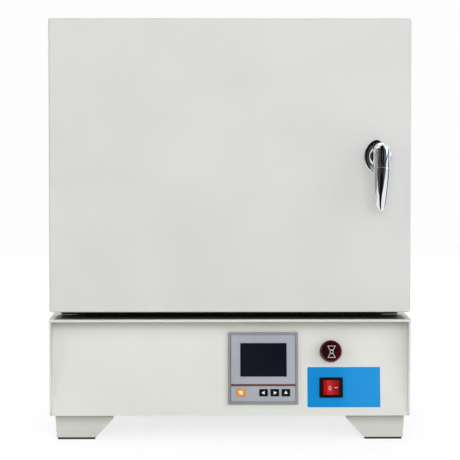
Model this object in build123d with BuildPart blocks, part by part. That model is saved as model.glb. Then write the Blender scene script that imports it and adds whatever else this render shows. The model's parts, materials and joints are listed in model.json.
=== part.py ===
from build123d import *

import math
import os

# Bench ashing furnace: a control base, an insulated cabinet on top of it and a door on its left edge.
# Millimetres. X runs to the right, Y to the back and Z up from the bench.

# Sheet metal and fits
sheet = 1.2
bend = 2.4  # outer bend radius of the folded sheets
frame_sheet = 2.0
running_fit = 0.05  # radial, for turning pins and for screws in their holes
slip = 0.3  # round a piece that has to go in and out
fold_gap = 0.2  # between folded sheets that lie side by side
fixing_flange = 22.0  # flanges that panels are screwed to

# Base
base_width = 482.0
base_depth = 500.0
base_height = 130.2
lip_height = 3.7
lip_return = 12.0
cheek_hem = 4.0  # how far the cheeks' hemmed front edges run back past the panel's face

# Feet
pad_thickness = 3.0
pad_margin = 1.3
foot_height = 29.3
foot_top_width = 77.0
foot_bottom_width = 52.5
foot_length = 60.0
foot_inset = 7.5
foot_setback = 4.0
foot_draft = 1.6
foot_edge = 4.5
foot_sheet = 1.5
foot_screw_inset = 12.0
foot_window_margin = 24.0

# Door and cabinet
door_inset = 1.0  # from the base's side in to the door's side
door_height = 390.0
door_depth = 60.0
door_lift = 9.6
door_edge_radius = 3.0
door_corner_radius = 3.2
seal_gap = 4.0
seal_inner = 8.0  # from the throat's edge out to the seal
seal_width = 10.0
seal_round = 1.2
door_overhang = 10.0  # of the door past the cabinet's side
rear_cover_depth = 45.0
flue_reach = 25.0

# Chamber
chamber_width = 200.0
chamber_height = 120.0
chamber_depth = 300.0
chamber_corner = 6.0
muffle_wall = 15.0
throat_margin = 23.0  # from the chamber's edge out to the throat's edge
throat_depth = 32.0
plug_clearance = 5.0  # between the plug and the throat, at the sides and the end
plug_taper = 3.0
hearth_thickness = 8.0
hearth_clearance = 5.0

# Heating elements
element_radius = 2.5
element_spacing = 30.0
element_bend = 12.0
element_end_margin = 22.0  # from the turns to the chamber's ends
element_tail = 22.0
groove_depth = 8.0
bush_radius = 8.0
bush_neck_radius = 5.0
bush_length = 12.0

# Thermocouple and flue
thermocouple_radius = 4.0
thermocouple_x = -55.0
thermocouple_reach = 45.0
thermocouple_head_radius = 11.0
thermocouple_head_length = 22.0
thermocouple_tip_flat = 0.5
flue_radius = 14.0
flue_wall = 2.0
flue_spigot_radius = 16.0  # outside the rear cover, for a hose
flue_drop = 22.0  # from the chamber's roof to the flue's axis

# Rear cover
cover_width = 300.0
cover_height = 170.0
cover_flange = 12.0
cover_sheet = 1.0
cover_round = 2.0
vent_length = 40.0
vent_width = 4.0
vent_pitch = 12.0
vent_count = 8
cover_vent_spread = 200.0

# Hinges
hinge_height = 70.0
hinge_inset = 70.0  # from the door's top or bottom edge to the middle of the hinge
hinge_pin_radius = 2.5
knuckle_radius = 4.8
knuckle_gap = 0.3
leaf_thickness = 2.0
leaf_width = 30.0
knuckle_side_gap = 0.5  # between the knuckle and the cabinet's side
knuckle_clearance = 0.7  # between the knuckle and the door's back
knuckle_pass = 0.8  # between a knuckle and the other leaf's edge
pin_head_radius = 4.0
pin_head_height = 2.0

# Latch and handle
latch_inset = 42.0  # from the door's right side to the spindle
latch_height = 207.0  # from the door's bottom edge to the spindle
spindle_radius = 5.0
bush_wall = 3.0
rosette_size = (34.0, 46.4)
rosette_shift = 3.8  # of its middle to the left of the spindle
rosette_thickness = 3.0
rosette_step = 1.5
hub_radius = 14.4
hub_height = 9.0
neck_radius = 9.0
handle_reach = 44.0
head_width = 22.0
head_above = 17.5
head_below = 13.4
head_depth = 18.0
head_round = 8.0
blade_middle = 40.0
blade_shoulder = 62.0
blade_tip = 70.2
blade_depth = 13.0
blade_middle_depth = 11.0
blade_end_depth = 9.0
blade_middle_width = 18.8
blade_end_width = 13.2
blade_tip_width = 7.8
blade_setback = 0.8  # of the blade's ridge behind the head's front
blade_step = 0.3  # of the blade's side in from the head's side
blade_overlap = 1.0  # of the blade up into the head
blade_crown = 7.5  # how far the blade's front is rounded back to its sides, at the head
blade_middle_crown = 7.0
blade_end_crown = 6.0
blade_tip_crown = 3.5
tongue_length = 24.0
tongue_width = 12.0
tongue_thickness = 4.0
tongue_hub_radius = 9.0
tongue_round = 3.0
spindle_hub_length = 4.0
tongue_gap = 0.3
latch_clearance = 1.0
latch_pocket_depth = 17.0
latch_pocket_margin = 3.0

# Control panel: it leans back, with its foot nearer to the front than its head
panel_foot_setback = 10.0
panel_head_setback = 30.0
panel_flange = 14.0
panel_bend = 1.6  # a tighter bend, where the panel meets the cheeks

# Fittings on the control panel: insets run in from the base's right side, rises up the panel from its foot
controller_inset = 196.5
controller_rise = 63.35
controller_width = 94.0
controller_height = 96.7
controller_frame_depth = 5.0
controller_frame_round = 1.0
controller_corner = 1.6
controller_overlap = 2.0  # of the frame past the case, on the left and right
controller_case_depth = 65.0
controller_case_wall = 2.5
face_width = 87.0
face_height = 89.0
face_corner = 1.5
face_front = 6.5
face_back = 1.0
display_size = (62.0, 44.5)
display_shift = (0.5, 10.95)  # from the controller's middle
display_depth = 2.0
display_recess = 0.8
key_size = (11.0, 9.2)
key_drop = 32.85  # from the controller's middle down to the row of keys
key_shifts = {"set_key": -29.8, "left_key": 0.5, "right_key": 15.5, "up_key": 30.3}
key_rise = 1.0
key_travel = 0.8
key_play = 0.1  # between a key's flange and the face when nobody presses it
key_end_gap = 0.2  # behind a key's flange when it is pressed
key_corner = 0.8
key_round = 0.5
key_flange = 1.0
key_flange_thickness = 1.2
clamp_size = (6.0, 36.0, 40.0)

buzzer_inset = 105.4
buzzer_rise = 85.9
buzzer_bezel_radius = 14.8
buzzer_bezel_height = 2.5
buzzer_bezel_round = 0.6
buzzer_body_radius = 11.0
buzzer_body_length = 28.0
buzzer_core_radius = 11.5
buzzer_core_height = 7.0
lens_radius = 14.0
lens_height = 11.5
lens_wall = 1.5
lens_round = 1.2
buzzer_nut_radius = 14.0
buzzer_nut_height = 5.0

label_inset = 88.2
label_rise = 37.9
label_size = (97.6, 53.6)
label_thickness = 0.5
label_corner = 1.0

switch_shift = (-17.1, -0.6)  # from the label's middle
switch_bezel = (31.6, 27.2)
switch_bezel_corner = 1.2
switch_bezel_round = 0.8
switch_bezel_height = 2.2
switch_body = (27.0, 23.6)
switch_body_depth = 24.0
switch_floor = 3.0
switch_window_wall = 1.7
rocker_half_face = 9.1
rocker_face_height = 6.9  # from the pivot up to the ends of the face
rocker_dish = 0.4  # how deep the face is at its middle
rocker_end_gap = 0.3  # between the rounded ends and the window
rocker_lean = 20.0  # each way from level
rocker_end_drop = 10.0  # how far the rounded ends run below the pivot, as an angle
rocker_foot_half = 7.0
rocker_foot_drop = 4.5
rocker_pin_radius = 1.5
rocker_pin_length = 1.2
rocker_pivot_height = -0.6  # above the panel's face
blade_terminal = (0.8, 6.3, 8.0)
blade_terminal_pitch = 8.0

# Inside the base
relay_size = (45.0, 58.0, 25.0)
relay_at = (-120.0, 250.0)
relay_chamfer = 2.0
sink_size = (70.0, 90.0)
sink_plate = 5.0
sink_fin_height = 25.0
sink_fin = 2.0
sink_fin_count = 7
terminal_size = (96.0, 24.0, 20.0)
terminal_at = (120.0, 400.0)
terminal_holes = 6
terminal_hole_radius = 3.5

# Cable entry
gland_x = 150.0
gland_rise = 45.0
gland_bore = 6.0
gland_thread_radius = 10.0
gland_thread_length = 14.0
gland_flange_radius = 14.0
gland_flange_height = 10.0
gland_dome_radius = 12.0
gland_dome_height = 14.0
gland_dome_round = 3.0
gland_nut_radius = 14.0
gland_nut_height = 5.0

# Screws: large ones for the feet and the cabinet, small ones for the back panels
large_screw_radius = 2.5
large_screw_head_radius = 4.5
large_screw_head_height = 3.0
large_screw_length = 8.0
screw_radius = 2.0
screw_head_radius = 3.8
screw_head_height = 2.2
screw_length = 8.0
screw_margin = 12.0
cabinet_screw_inset = 60.0  # from the cabinet's front and back to its end screws

# Places that follow from the sizes
door_width = base_width - 2 * door_inset
cabinet_width = door_width - 2 * door_overhang
base_bottom = pad_thickness + foot_height
base_top = base_bottom + base_height
side_top = base_top - sheet
door_bottom = base_top + door_lift
door_top = door_bottom + door_height
rear_reach = rear_cover_depth + flue_reach
front = handle_reach - (handle_reach + base_depth + rear_reach) / 2
rear = front + base_depth
door_back_y = front + door_depth
cabinet_front = door_back_y + seal_gap
frame_back = cabinet_front + frame_sheet
cabinet_half = cabinet_width / 2
inner_half = cabinet_half - sheet
inner_top = door_top - sheet
chamber_z = (door_bottom + door_top) / 2
muffle_width = chamber_width + 2 * muffle_wall
muffle_height = chamber_height + 2 * muffle_wall
muffle_front = frame_back + throat_depth
muffle_back = muffle_front + chamber_depth + muffle_wall
chamber_back = muffle_front + chamber_depth
throat_width = chamber_width + 2 * throat_margin
throat_height = chamber_height + 2 * throat_margin
cheek_inner = base_width / 2 - 2 * sheet
board_half = inner_half - fold_gap
board_low = base_top + sheet
board_top = inner_top - fold_gap
board_middle = (board_low + board_top) / 2
board_size = (2 * board_half, board_top - board_low)
plate_back = rear - sheet
controller_case_size = controller_width - 2 * controller_overlap
controller_at = (base_width / 2 - controller_inset, controller_rise)
display_at = (controller_at[0] + display_shift[0], controller_at[1] + display_shift[1])
key_row = controller_at[1] - key_drop
key_places = {key_name: controller_at[0] + shift for key_name, shift in key_shifts.items()}
buzzer_at = (base_width / 2 - buzzer_inset, buzzer_rise)
label_at = (base_width / 2 - label_inset, label_rise)
switch_at = (label_at[0] + switch_shift[0], label_at[1] + switch_shift[1])

os.makedirs("parts", exist_ok=True)


def facing_front(y, x=0.0, z=0.0):
    """A sketch plane seen from the front: its X is X, its Y is Z, and it faces the front."""
    return Plane(origin=(x, y, z), x_dir=(1, 0, 0), z_dir=(0, -1, 0))


def write(piece, name):
    """Labels a finished piece and writes its own file."""
    piece.part.label = name
    export_step(piece.part, f"parts/{name}.step")


# Feet: folded from sheet, the inner side slanting under from a short upright edge
foot_outer = base_width / 2 - foot_inset
foot_middle = foot_outer - foot_top_width / 2
foot_low_outer = foot_outer - foot_draft
foot_low_inner = foot_low_outer - foot_bottom_width
front_foot_y = front + panel_foot_setback + foot_setback
rear_foot_y = rear - foot_setback - foot_length
foot_rows = {"front": front_foot_y, "rear": rear_foot_y}
foot_sides = {"left": -1, "right": 1}
foot_screw_spread = foot_top_width - 2 * foot_screw_inset
foot_screw_places = [
    (side * foot_middle + across * foot_screw_spread / 2, y + foot_length / 2)
    for y in foot_rows.values()
    for side in foot_sides.values()
    for across in (-1, 1)
]

for row, foot_y in foot_rows.items():
    for side_name, side in foot_sides.items():
        outline = [
            (side * foot_outer, base_bottom),
            (side * (foot_outer - foot_top_width), base_bottom),
            (side * (foot_outer - foot_top_width), base_bottom - foot_edge),
            (side * foot_low_inner, pad_thickness),
            (side * foot_low_outer, pad_thickness),
        ]
        with BuildPart() as foot:
            with BuildSketch(facing_front(foot_y)):
                with BuildLine():
                    Polyline(*outline, close=True)
                make_face()
            extrude(amount=-foot_length)
            with BuildSketch(facing_front(foot_y + foot_sheet)):
                with BuildLine():
                    Polyline(*outline, close=True)
                make_face()
                offset(amount=-foot_sheet, kind=Kind.INTERSECTION)
            extrude(amount=-(foot_length - 2 * foot_sheet), mode=Mode.SUBTRACT)
            with BuildSketch(Plane.XY.offset(base_bottom)):
                with Locations((side * foot_middle, foot_y + foot_length / 2)):
                    Rectangle(foot_top_width - 2 * foot_window_margin, foot_length / 2)
                with Locations(*foot_screw_places):
                    Circle(large_screw_radius + running_fit)
            extrude(amount=-foot_sheet, mode=Mode.SUBTRACT)
        write(foot, f"foot_{row}_{side_name}")

# Rubber pads under the feet
with BuildPart() as foot_pads:
    with BuildSketch(Plane.XY):
        for foot_y in foot_rows.values():
            for side in foot_sides.values():
                with Locations((side * (foot_low_outer + foot_low_inner) / 2, foot_y + foot_length / 2)):
                    Rectangle(foot_bottom_width - 2 * pad_margin, foot_length - 2 * pad_margin)
    extrude(amount=pad_thickness)
write(foot_pads, "foot_pads")

# Large screws: they hold the feet from inside the base, and the cabinet from under the base's top plate
cabinet_foot_places = [
    (side * (cabinet_half - fixing_flange / 2), y)
    for side in (-1, 1)
    for y in (cabinet_front + cabinet_screw_inset, (cabinet_front + rear) / 2, rear - cabinet_screw_inset)
]
with BuildPart() as base_screws:
    for places, seat, way in (
        (foot_screw_places, base_bottom + sheet, -1),
        (cabinet_foot_places, side_top, 1),
    ):
        with BuildSketch(Plane.XY.offset(seat)):
            with Locations(*places):
                Circle(large_screw_radius)
        extrude(amount=way * large_screw_length)
        with BuildSketch(Plane.XY.offset(seat)):
            with Locations(*places):
                Circle(large_screw_head_radius)
        extrude(amount=-way * large_screw_head_height)
write(base_screws, "base_screws")

# The control panel's plane: X across, Y up the panel, facing forwards and a little up
panel_rise = side_top - base_bottom
panel_lean = math.atan2(panel_head_setback - panel_foot_setback, panel_rise)
panel_face = Plane(
    origin=(0, front + panel_foot_setback, base_bottom),
    x_dir=(1, 0, 0),
    z_dir=(0, -math.cos(panel_lean), math.sin(panel_lean)),
)
panel_out = Axis(panel_face.origin, panel_face.z_dir)
panel_half = cheek_inner - fold_gap
floor_front = front + panel_foot_setback + sheet / math.cos(panel_lean) + fold_gap

# Places of the small screws in the back panels: across, then height
base_screw_places = [
    (across * (base_width / 2 - screw_margin - sheet), height)
    for across in (-1, 0, 1)
    for height in (base_bottom + sheet + screw_margin, side_top - screw_margin)
]
cabinet_screw_places = [(0, inner_top - screw_margin)] + [
    (side * (cabinet_half - screw_margin - sheet), height)
    for side in (-1, 1)
    for height in (base_top + 2 * screw_margin, chamber_z, inner_top - screw_margin)
]
cover_screw_places = [
    (across * (cover_width / 2 + cover_flange / 2), chamber_z + up * (cover_height / 2 - screw_margin))
    for across in (-1, 1)
    for up in (-1, 1)
]

# Base shell: floor and two side cheeks, whose front edges slope back to the panel's foot and are hemmed
# as far as the panel
with BuildPart() as base_shell:
    with BuildSketch(facing_front(front)):
        with BuildLine():
            FilletPolyline(
                (-(base_width - sheet) / 2, side_top),
                (-(base_width - sheet) / 2, base_bottom + sheet / 2),
                ((base_width - sheet) / 2, base_bottom + sheet / 2),
                ((base_width - sheet) / 2, side_top),
                radius=bend - sheet / 2,
            )
        trace(line_width=sheet)
    extrude(amount=-base_depth)
    for side in (-1, 1):
        with BuildSketch(Plane.YZ.offset(side * (base_width / 2 - 1.5 * sheet))):
            with BuildLine():
                Polyline(
                    (front, side_top),
                    (front + panel_head_setback + cheek_hem, side_top),
                    (front + panel_foot_setback + cheek_hem, base_bottom + bend),
                    (front + panel_foot_setback, base_bottom + bend),
                    close=True,
                )
            make_face()
        extrude(amount=sheet / 2, both=True)
    with BuildSketch(Plane.YZ):
        with BuildLine():
            Polyline(
                (front - sheet, base_top),
                (front, base_top),
                (front + panel_foot_setback, base_bottom),
                (front + panel_foot_setback, base_bottom - sheet),
                (front - sheet, base_bottom - sheet),
                close=True,
            )
        make_face()
        with Locations((front + lip_height / 4 + fold_gap / 2, base_top)):
            Rectangle(lip_height / 2 + fold_gap, 2 * (lip_height + fold_gap))
    extrude(amount=base_width, both=True, mode=Mode.SUBTRACT)
    with BuildSketch(Plane.XY.offset(base_bottom)):
        with Locations((0, (front + floor_front) / 2)):
            Rectangle(2 * cheek_inner, floor_front - front)
        with Locations(*foot_screw_places):
            Circle(large_screw_radius + running_fit)
    extrude(amount=sheet, mode=Mode.SUBTRACT)
    with BuildSketch(facing_front(plate_back - sheet)):
        with Locations((0, (base_bottom + side_top) / 2)):
            Rectangle(base_width - 2 * bend, side_top - base_bottom)
        with Locations((0, (base_bottom + side_top) / 2 + fixing_flange)):
            Rectangle(base_width - 2 * fixing_flange, side_top - base_bottom, mode=Mode.SUBTRACT)
    extrude(amount=-sheet)
    for side in (-1, 1):
        with BuildSketch(facing_front(plate_back - sheet)):
            with Locations((side * (base_width - bend - sheet) / 2, (base_bottom + bend + side_top) / 2)):
                Rectangle(bend - sheet, side_top - base_bottom - bend)
        extrude(amount=-sheet)
    with BuildSketch(facing_front(rear)):
        with Locations(*base_screw_places):
            Circle(screw_radius + running_fit)
    extrude(amount=3 * sheet, mode=Mode.SUBTRACT)
write(base_shell, "base_shell")

# Base top plate, its front edge rolled under into a lip
lip_radius = (lip_height - sheet) / 2
with BuildPart() as base_top_plate:
    with BuildSketch(Plane.YZ):
        with BuildLine():
            top_run = Line((rear, base_top - sheet / 2), (front + lip_height / 2, base_top - sheet / 2))
            roll = TangentArc(
                top_run @ 1,
                (front + lip_height / 2, base_top - sheet / 2 - 2 * lip_radius),
                tangent=(-1, 0),
            )
            Line(roll @ 1, (front + lip_height / 2 + lip_return, base_top - sheet / 2 - 2 * lip_radius))
        trace(line_width=sheet)
    extrude(amount=base_width / 2, both=True)
    with BuildSketch(facing_front(plate_back - sheet)):
        with Locations((0, base_top - fixing_flange / 2)):
            Rectangle(base_width - 2 * fixing_flange - 2 * bend, fixing_flange)
    extrude(amount=-sheet)
    with BuildSketch(facing_front(rear)):
        with Locations(*base_screw_places):
            Circle(screw_radius + running_fit)
    extrude(amount=3 * sheet, mode=Mode.SUBTRACT)
    with BuildSketch(Plane.XY.offset(side_top)):
        with Locations(*cabinet_foot_places):
            Circle(large_screw_radius + running_fit)
    extrude(amount=sheet, mode=Mode.SUBTRACT)
    for side in (-1, 1):
        with BuildSketch(Plane.XY.offset(base_top - lip_height)):
            with Locations((side * base_width / 2, front + lip_height / 2 + lip_return)):
                Rectangle(2 * (2 * sheet + fold_gap), 2 * lip_return)
        extrude(amount=lip_height - sheet, mode=Mode.SUBTRACT)
write(base_top_plate, "base_top_plate")

# Panel openings, shared by the panel and the label
switch_cutout = (switch_body[0] + 2 * fold_gap, switch_body[1] + 2 * fold_gap)

# Control panel: side flanges turned back with a round bend, a top and a bottom flange
with BuildPart() as control_panel:
    with BuildSketch(Plane(origin=panel_face.origin, x_dir=(1, 0, 0), z_dir=panel_face.y_dir)):
        with BuildLine():
            FilletPolyline(
                (-(panel_half - sheet / 2), panel_flange),
                (-(panel_half - sheet / 2), sheet / 2),
                (panel_half - sheet / 2, sheet / 2),
                (panel_half - sheet / 2, panel_flange),
                radius=panel_bend - sheet / 2,
            )
        trace(line_width=sheet)
    extrude(amount=2 * panel_rise, both=True)
    split(bisect_by=Plane.XY.offset(base_bottom), keep=Keep.TOP)
    split(bisect_by=Plane.XY.offset(side_top), keep=Keep.BOTTOM)
    with BuildSketch(Plane.XY.offset(base_bottom)):
        with Locations((0, floor_front - fold_gap / 2 + base_depth / 2)):
            Rectangle(base_width, base_depth)
    extrude(amount=sheet, mode=Mode.SUBTRACT)
    flange_half = panel_half - bend
    with BuildSketch(Plane.XY.offset(side_top - sheet)):
        with Locations((0, front + panel_head_setback + sheet / 2 + panel_flange / 2)):
            Rectangle(2 * flange_half, panel_flange)
    extrude(amount=sheet)
    with BuildSketch(Plane.XY.offset(base_bottom + sheet)):
        with Locations((0, front + panel_foot_setback + sheet + panel_flange / 2)):
            Rectangle(2 * flange_half, panel_flange)
    extrude(amount=sheet)
    with BuildSketch(panel_face):
        with Locations(controller_at):
            Rectangle(controller_case_size + 2 * slip, controller_case_size + 2 * slip)
        with Locations(buzzer_at):
            Circle(buzzer_body_radius + slip)
        with Locations(switch_at):
            Rectangle(*switch_cutout)
    extrude(amount=-2 * sheet, mode=Mode.SUBTRACT)
write(control_panel, "control_panel")

# Blue label plate with the switch's cut-out
with BuildPart() as label_plate:
    with BuildSketch(panel_face):
        with Locations(label_at):
            RectangleRounded(*label_size, label_corner)
        with Locations(switch_at):
            Rectangle(*switch_cutout, mode=Mode.SUBTRACT)
    extrude(amount=label_thickness)
write(label_plate, "label_plate")

# Controller case: one moulding, a front frame on a box that goes through the panel
case_front = face_back
with BuildPart() as controller_case:
    with BuildSketch(panel_face):
        with Locations(controller_at):
            RectangleRounded(controller_width, controller_height, controller_corner)
    extrude(amount=controller_frame_depth)
    fillet(controller_case.faces().sort_by(panel_out)[-1].edges(), controller_frame_round)
    with BuildSketch(panel_face.offset(case_front)):
        with Locations(controller_at):
            Rectangle(face_width + 2 * fold_gap, face_height + 2 * fold_gap)
    extrude(amount=controller_frame_depth, mode=Mode.SUBTRACT)
    with BuildSketch(panel_face):
        with Locations(controller_at):
            Rectangle(controller_case_size, controller_case_size)
    extrude(amount=-controller_case_depth)
    case_inner = controller_case_size - 2 * controller_case_wall
    with BuildSketch(panel_face.offset(-controller_case_wall)):
        with Locations(controller_at):
            Rectangle(case_inner, case_inner)
    extrude(amount=-(controller_case_depth - 2 * controller_case_wall), mode=Mode.SUBTRACT)
write(controller_case, "controller_case")

# Controller face: grey plate with the display's recess and a stepped hole for each key
pocket_top = face_back + key_end_gap + key_travel + key_flange_thickness + key_play
with BuildPart() as controller_face:
    with BuildSketch(panel_face.offset(face_back)):
        with Locations(controller_at):
            RectangleRounded(face_width, face_height, face_corner)
    extrude(amount=face_front - face_back)
    with BuildSketch(panel_face.offset(face_front)):
        with Locations(display_at):
            Rectangle(display_size[0] + 2 * fold_gap, display_size[1] + 2 * fold_gap)
    extrude(amount=-(display_depth + display_recess), mode=Mode.SUBTRACT)
    with BuildSketch(panel_face.offset(face_back)):
        for key_x in key_places.values():
            with Locations((key_x, key_row)):
                Rectangle(key_size[0] + 2 * slip, key_size[1] + 2 * slip)
    extrude(amount=face_front, mode=Mode.SUBTRACT)
    with BuildSketch(panel_face.offset(face_back)):
        for key_x in key_places.values():
            with Locations((key_x, key_row)):
                Rectangle(
                    key_size[0] + 2 * (key_flange + slip),
                    key_size[1] + 2 * (key_flange + slip),
                )
    extrude(amount=pocket_top - face_back, mode=Mode.SUBTRACT)
write(controller_face, "controller_face")

# Display window, set a little below the face
with BuildPart() as controller_display:
    with BuildSketch(panel_face.offset(face_front - display_recess)):
        with Locations(display_at):
            Rectangle(*display_size)
    extrude(amount=-display_depth)
write(controller_display, "controller_display")

# Keys: a cap in its hole, with a flange behind the face that keeps it in
flange_back = pocket_top - key_play - key_flange_thickness
for key_name, key_x in key_places.items():
    with BuildPart() as key:
        with BuildSketch(panel_face.offset(flange_back)):
            with Locations((key_x, key_row)):
                Rectangle(key_size[0] + 2 * key_flange, key_size[1] + 2 * key_flange)
        extrude(amount=key_flange_thickness)
        with BuildSketch(panel_face.offset(flange_back)):
            with Locations((key_x, key_row)):
                RectangleRounded(*key_size, key_corner)
        extrude(amount=face_front + key_rise - flange_back)
        fillet(key.faces().sort_by(panel_out)[-1].edges(), key_round)
    write(key, key_name)

# Clamps that pull the controller against the panel from behind, one on each side of the case
with BuildPart() as controller_clamps:
    for side in (-1, 1):
        clamp_x = controller_at[0] + side * (controller_case_size / 2 + slip / 2 + clamp_size[0] / 2)
        with BuildSketch(panel_face.offset(-sheet)):
            with Locations((clamp_x, controller_at[1])):
                Rectangle(clamp_size[0], clamp_size[1])
        extrude(amount=-clamp_size[2])
write(controller_clamps, "controller_clamps")

# Buzzer: bezel, threaded body through the panel and a round core inside the lens
with BuildPart() as buzzer_body:
    with BuildSketch(panel_face):
        with Locations(buzzer_at):
            Circle(buzzer_bezel_radius)
    extrude(amount=buzzer_bezel_height)
    fillet(buzzer_body.faces().sort_by(panel_out)[-1].edges(), buzzer_bezel_round)
    with BuildSketch(panel_face):
        with Locations(buzzer_at):
            Circle(buzzer_body_radius)
    extrude(amount=-buzzer_body_length)
    with BuildSketch(panel_face.offset(buzzer_bezel_height)):
        with Locations(buzzer_at):
            Circle(buzzer_core_radius)
    extrude(amount=buzzer_core_height)
write(buzzer_body, "buzzer_body")

# Buzzer lens: a hollow red cap with a rounded front edge
with BuildPart() as buzzer_lens:
    with BuildSketch(panel_face.offset(buzzer_bezel_height)):
        with Locations(buzzer_at):
            Circle(lens_radius)
    extrude(amount=lens_height)
    fillet(buzzer_lens.faces().sort_by(panel_out)[-1].edges(), lens_round)
    with BuildSketch(panel_face.offset(buzzer_bezel_height)):
        with Locations(buzzer_at):
            Circle(lens_radius - lens_wall)
    extrude(amount=lens_height - lens_wall, mode=Mode.SUBTRACT)
write(buzzer_lens, "buzzer_lens")

# Nut behind the panel
with BuildPart() as buzzer_nut:
    with BuildSketch(panel_face.offset(-sheet)):
        with Locations(buzzer_at):
            RegularPolygon(buzzer_nut_radius, 6)
            Circle(buzzer_body_radius + running_fit, mode=Mode.SUBTRACT)
    extrude(amount=-buzzer_nut_height)
write(buzzer_nut, "buzzer_nut")

# Rocker switch: bezel on the label, body through the panel, a window for the rocker
rocker_radius = math.hypot(rocker_half_face, rocker_face_height)
window_half = rocker_radius + rocker_end_gap
window = (2 * window_half, switch_body[1] - 2 * switch_window_wall)
bezel_base = label_thickness
with BuildPart() as switch_housing:
    with BuildSketch(panel_face.offset(bezel_base)):
        with Locations(switch_at):
            RectangleRounded(*switch_bezel, switch_bezel_corner)
    extrude(amount=switch_bezel_height)
    fillet(switch_housing.faces().sort_by(panel_out)[-1].edges(), switch_bezel_round)
    with BuildSketch(panel_face.offset(bezel_base)):
        with Locations(switch_at):
            Rectangle(*switch_body)
    extrude(amount=-switch_body_depth)
    with BuildSketch(panel_face.offset(bezel_base + switch_bezel_height)):
        with Locations(switch_at):
            Rectangle(*window)
    extrude(amount=-(switch_body_depth + switch_bezel_height - switch_floor), mode=Mode.SUBTRACT)
    pin_axis = Plane(
        origin=panel_face.from_local_coords((*switch_at, rocker_pivot_height)),
        x_dir=(1, 0, 0),
        z_dir=panel_face.y_dir,
    )
    with BuildSketch(pin_axis):
        Circle(rocker_pin_radius + running_fit)
    extrude(amount=window[1] / 2 + rocker_pin_length + fold_gap, both=True, mode=Mode.SUBTRACT)
    with BuildSketch(panel_face.offset(bezel_base - switch_body_depth)):
        with Locations(switch_at):
            with GridLocations(blade_terminal_pitch, 1, 3, 1):
                Rectangle(blade_terminal[0], blade_terminal[1])
    extrude(amount=-blade_terminal[2])
write(switch_housing, "switch_housing")

# Rocker: a slightly hollow face that leans left side out, ends rounded about the pivot, a foot, and two pins
lean = math.radians(rocker_lean)
rocker_end_top = math.atan2(rocker_face_height, rocker_half_face)
rocker_end_low = -math.radians(rocker_end_drop)
rocker_width = window[1] - 2 * slip


def rocker_point(u, w):
    """Turns a point of the level rocker, seen along the pivot, to its leaning rest; depth grows inwards."""
    across = u * math.cos(lean) + w * math.sin(lean)
    out = -u * math.sin(lean) + w * math.cos(lean)
    return (across, -out)


def rocker_end(side, angle):
    """A point on one of the rounded ends, at an angle above the pivot."""
    return rocker_point(side * rocker_radius * math.cos(angle), rocker_radius * math.sin(angle))


with BuildPart() as switch_rocker:
    with BuildSketch(pin_axis):
        with BuildLine():
            Polyline(
                rocker_point(-rocker_half_face, rocker_face_height),
                rocker_point(0, rocker_face_height - rocker_dish),
                rocker_point(rocker_half_face, rocker_face_height),
            )
            for side in (-1, 1):
                ThreePointArc(
                    rocker_point(side * rocker_half_face, rocker_face_height),
                    rocker_end(side, (rocker_end_top + rocker_end_low) / 2),
                    rocker_end(side, rocker_end_low),
                )
            Polyline(
                rocker_end(-1, rocker_end_low),
                rocker_point(-rocker_foot_half, -rocker_foot_drop),
                rocker_point(rocker_foot_half, -rocker_foot_drop),
                rocker_end(1, rocker_end_low),
            )
        make_face()
    extrude(amount=rocker_width / 2, both=True)
    with BuildSketch(pin_axis):
        Circle(rocker_pin_radius)
    extrude(amount=window[1] / 2 + rocker_pin_length, both=True)
write(switch_rocker, "switch_rocker")

# Relay on its heat sink, on the base's floor
relay_y = front + relay_at[1]
sink_top = base_bottom + sheet + sink_fin_height + sink_plate
with BuildPart() as heat_sink:
    with BuildSketch(Plane.XY.offset(sink_top)):
        with Locations((relay_at[0], relay_y)):
            Rectangle(*sink_size)
    extrude(amount=-sink_plate)
    with BuildSketch(Plane.XY.offset(sink_top - sink_plate)):
        with Locations((relay_at[0], relay_y)):
            with GridLocations((sink_size[0] - sink_fin) / (sink_fin_count - 1), 1, sink_fin_count, 1):
                Rectangle(sink_fin, sink_size[1])
    extrude(amount=-sink_fin_height)
write(heat_sink, "heat_sink")

with BuildPart() as relay:
    with BuildSketch(Plane.XY.offset(sink_top)):
        with Locations((relay_at[0], relay_y)):
            Rectangle(relay_size[0], relay_size[1])
    extrude(amount=relay_size[2])
    chamfer(relay.edges().filter_by(Axis.Z), relay_chamfer)
write(relay, "relay")

# Terminal block where the supply comes in
terminal_y = front + terminal_at[1]
terminal_z = base_bottom + sheet + terminal_size[2]
with BuildPart() as terminal_block:
    with BuildSketch(Plane.XY.offset(terminal_z)):
        with Locations((terminal_at[0], terminal_y)):
            Rectangle(terminal_size[0], terminal_size[1])
    extrude(amount=-terminal_size[2])
    with BuildSketch(Plane.XY.offset(terminal_z)):
        with Locations((terminal_at[0], terminal_y)):
            with GridLocations(terminal_size[0] / terminal_holes, 1, terminal_holes, 1):
                Circle(terminal_hole_radius)
    extrude(amount=-terminal_size[2] / 2, mode=Mode.SUBTRACT)
write(terminal_block, "terminal_block")

# Base back panel, with vents and the cable entry
gland_place = (gland_x, base_bottom + gland_rise)
with BuildPart() as base_back:
    with BuildSketch(facing_front(rear)):
        with Locations((0, (base_bottom + sheet + side_top) / 2)):
            RectangleRounded(base_width - 2 * sheet - 2 * fold_gap, side_top - base_bottom - sheet, bend)
        with Locations((-gland_x / 2, (base_bottom + base_top) / 2)):
            with GridLocations(vent_pitch, 1, 2 * vent_count, 1):
                SlotOverall(vent_length, vent_width, rotation=90, mode=Mode.SUBTRACT)
        with Locations(gland_place):
            Circle(gland_thread_radius + slip, mode=Mode.SUBTRACT)
        with Locations(*base_screw_places):
            Circle(screw_radius + running_fit, mode=Mode.SUBTRACT)
    extrude(amount=sheet)
write(base_back, "base_back")

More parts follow.
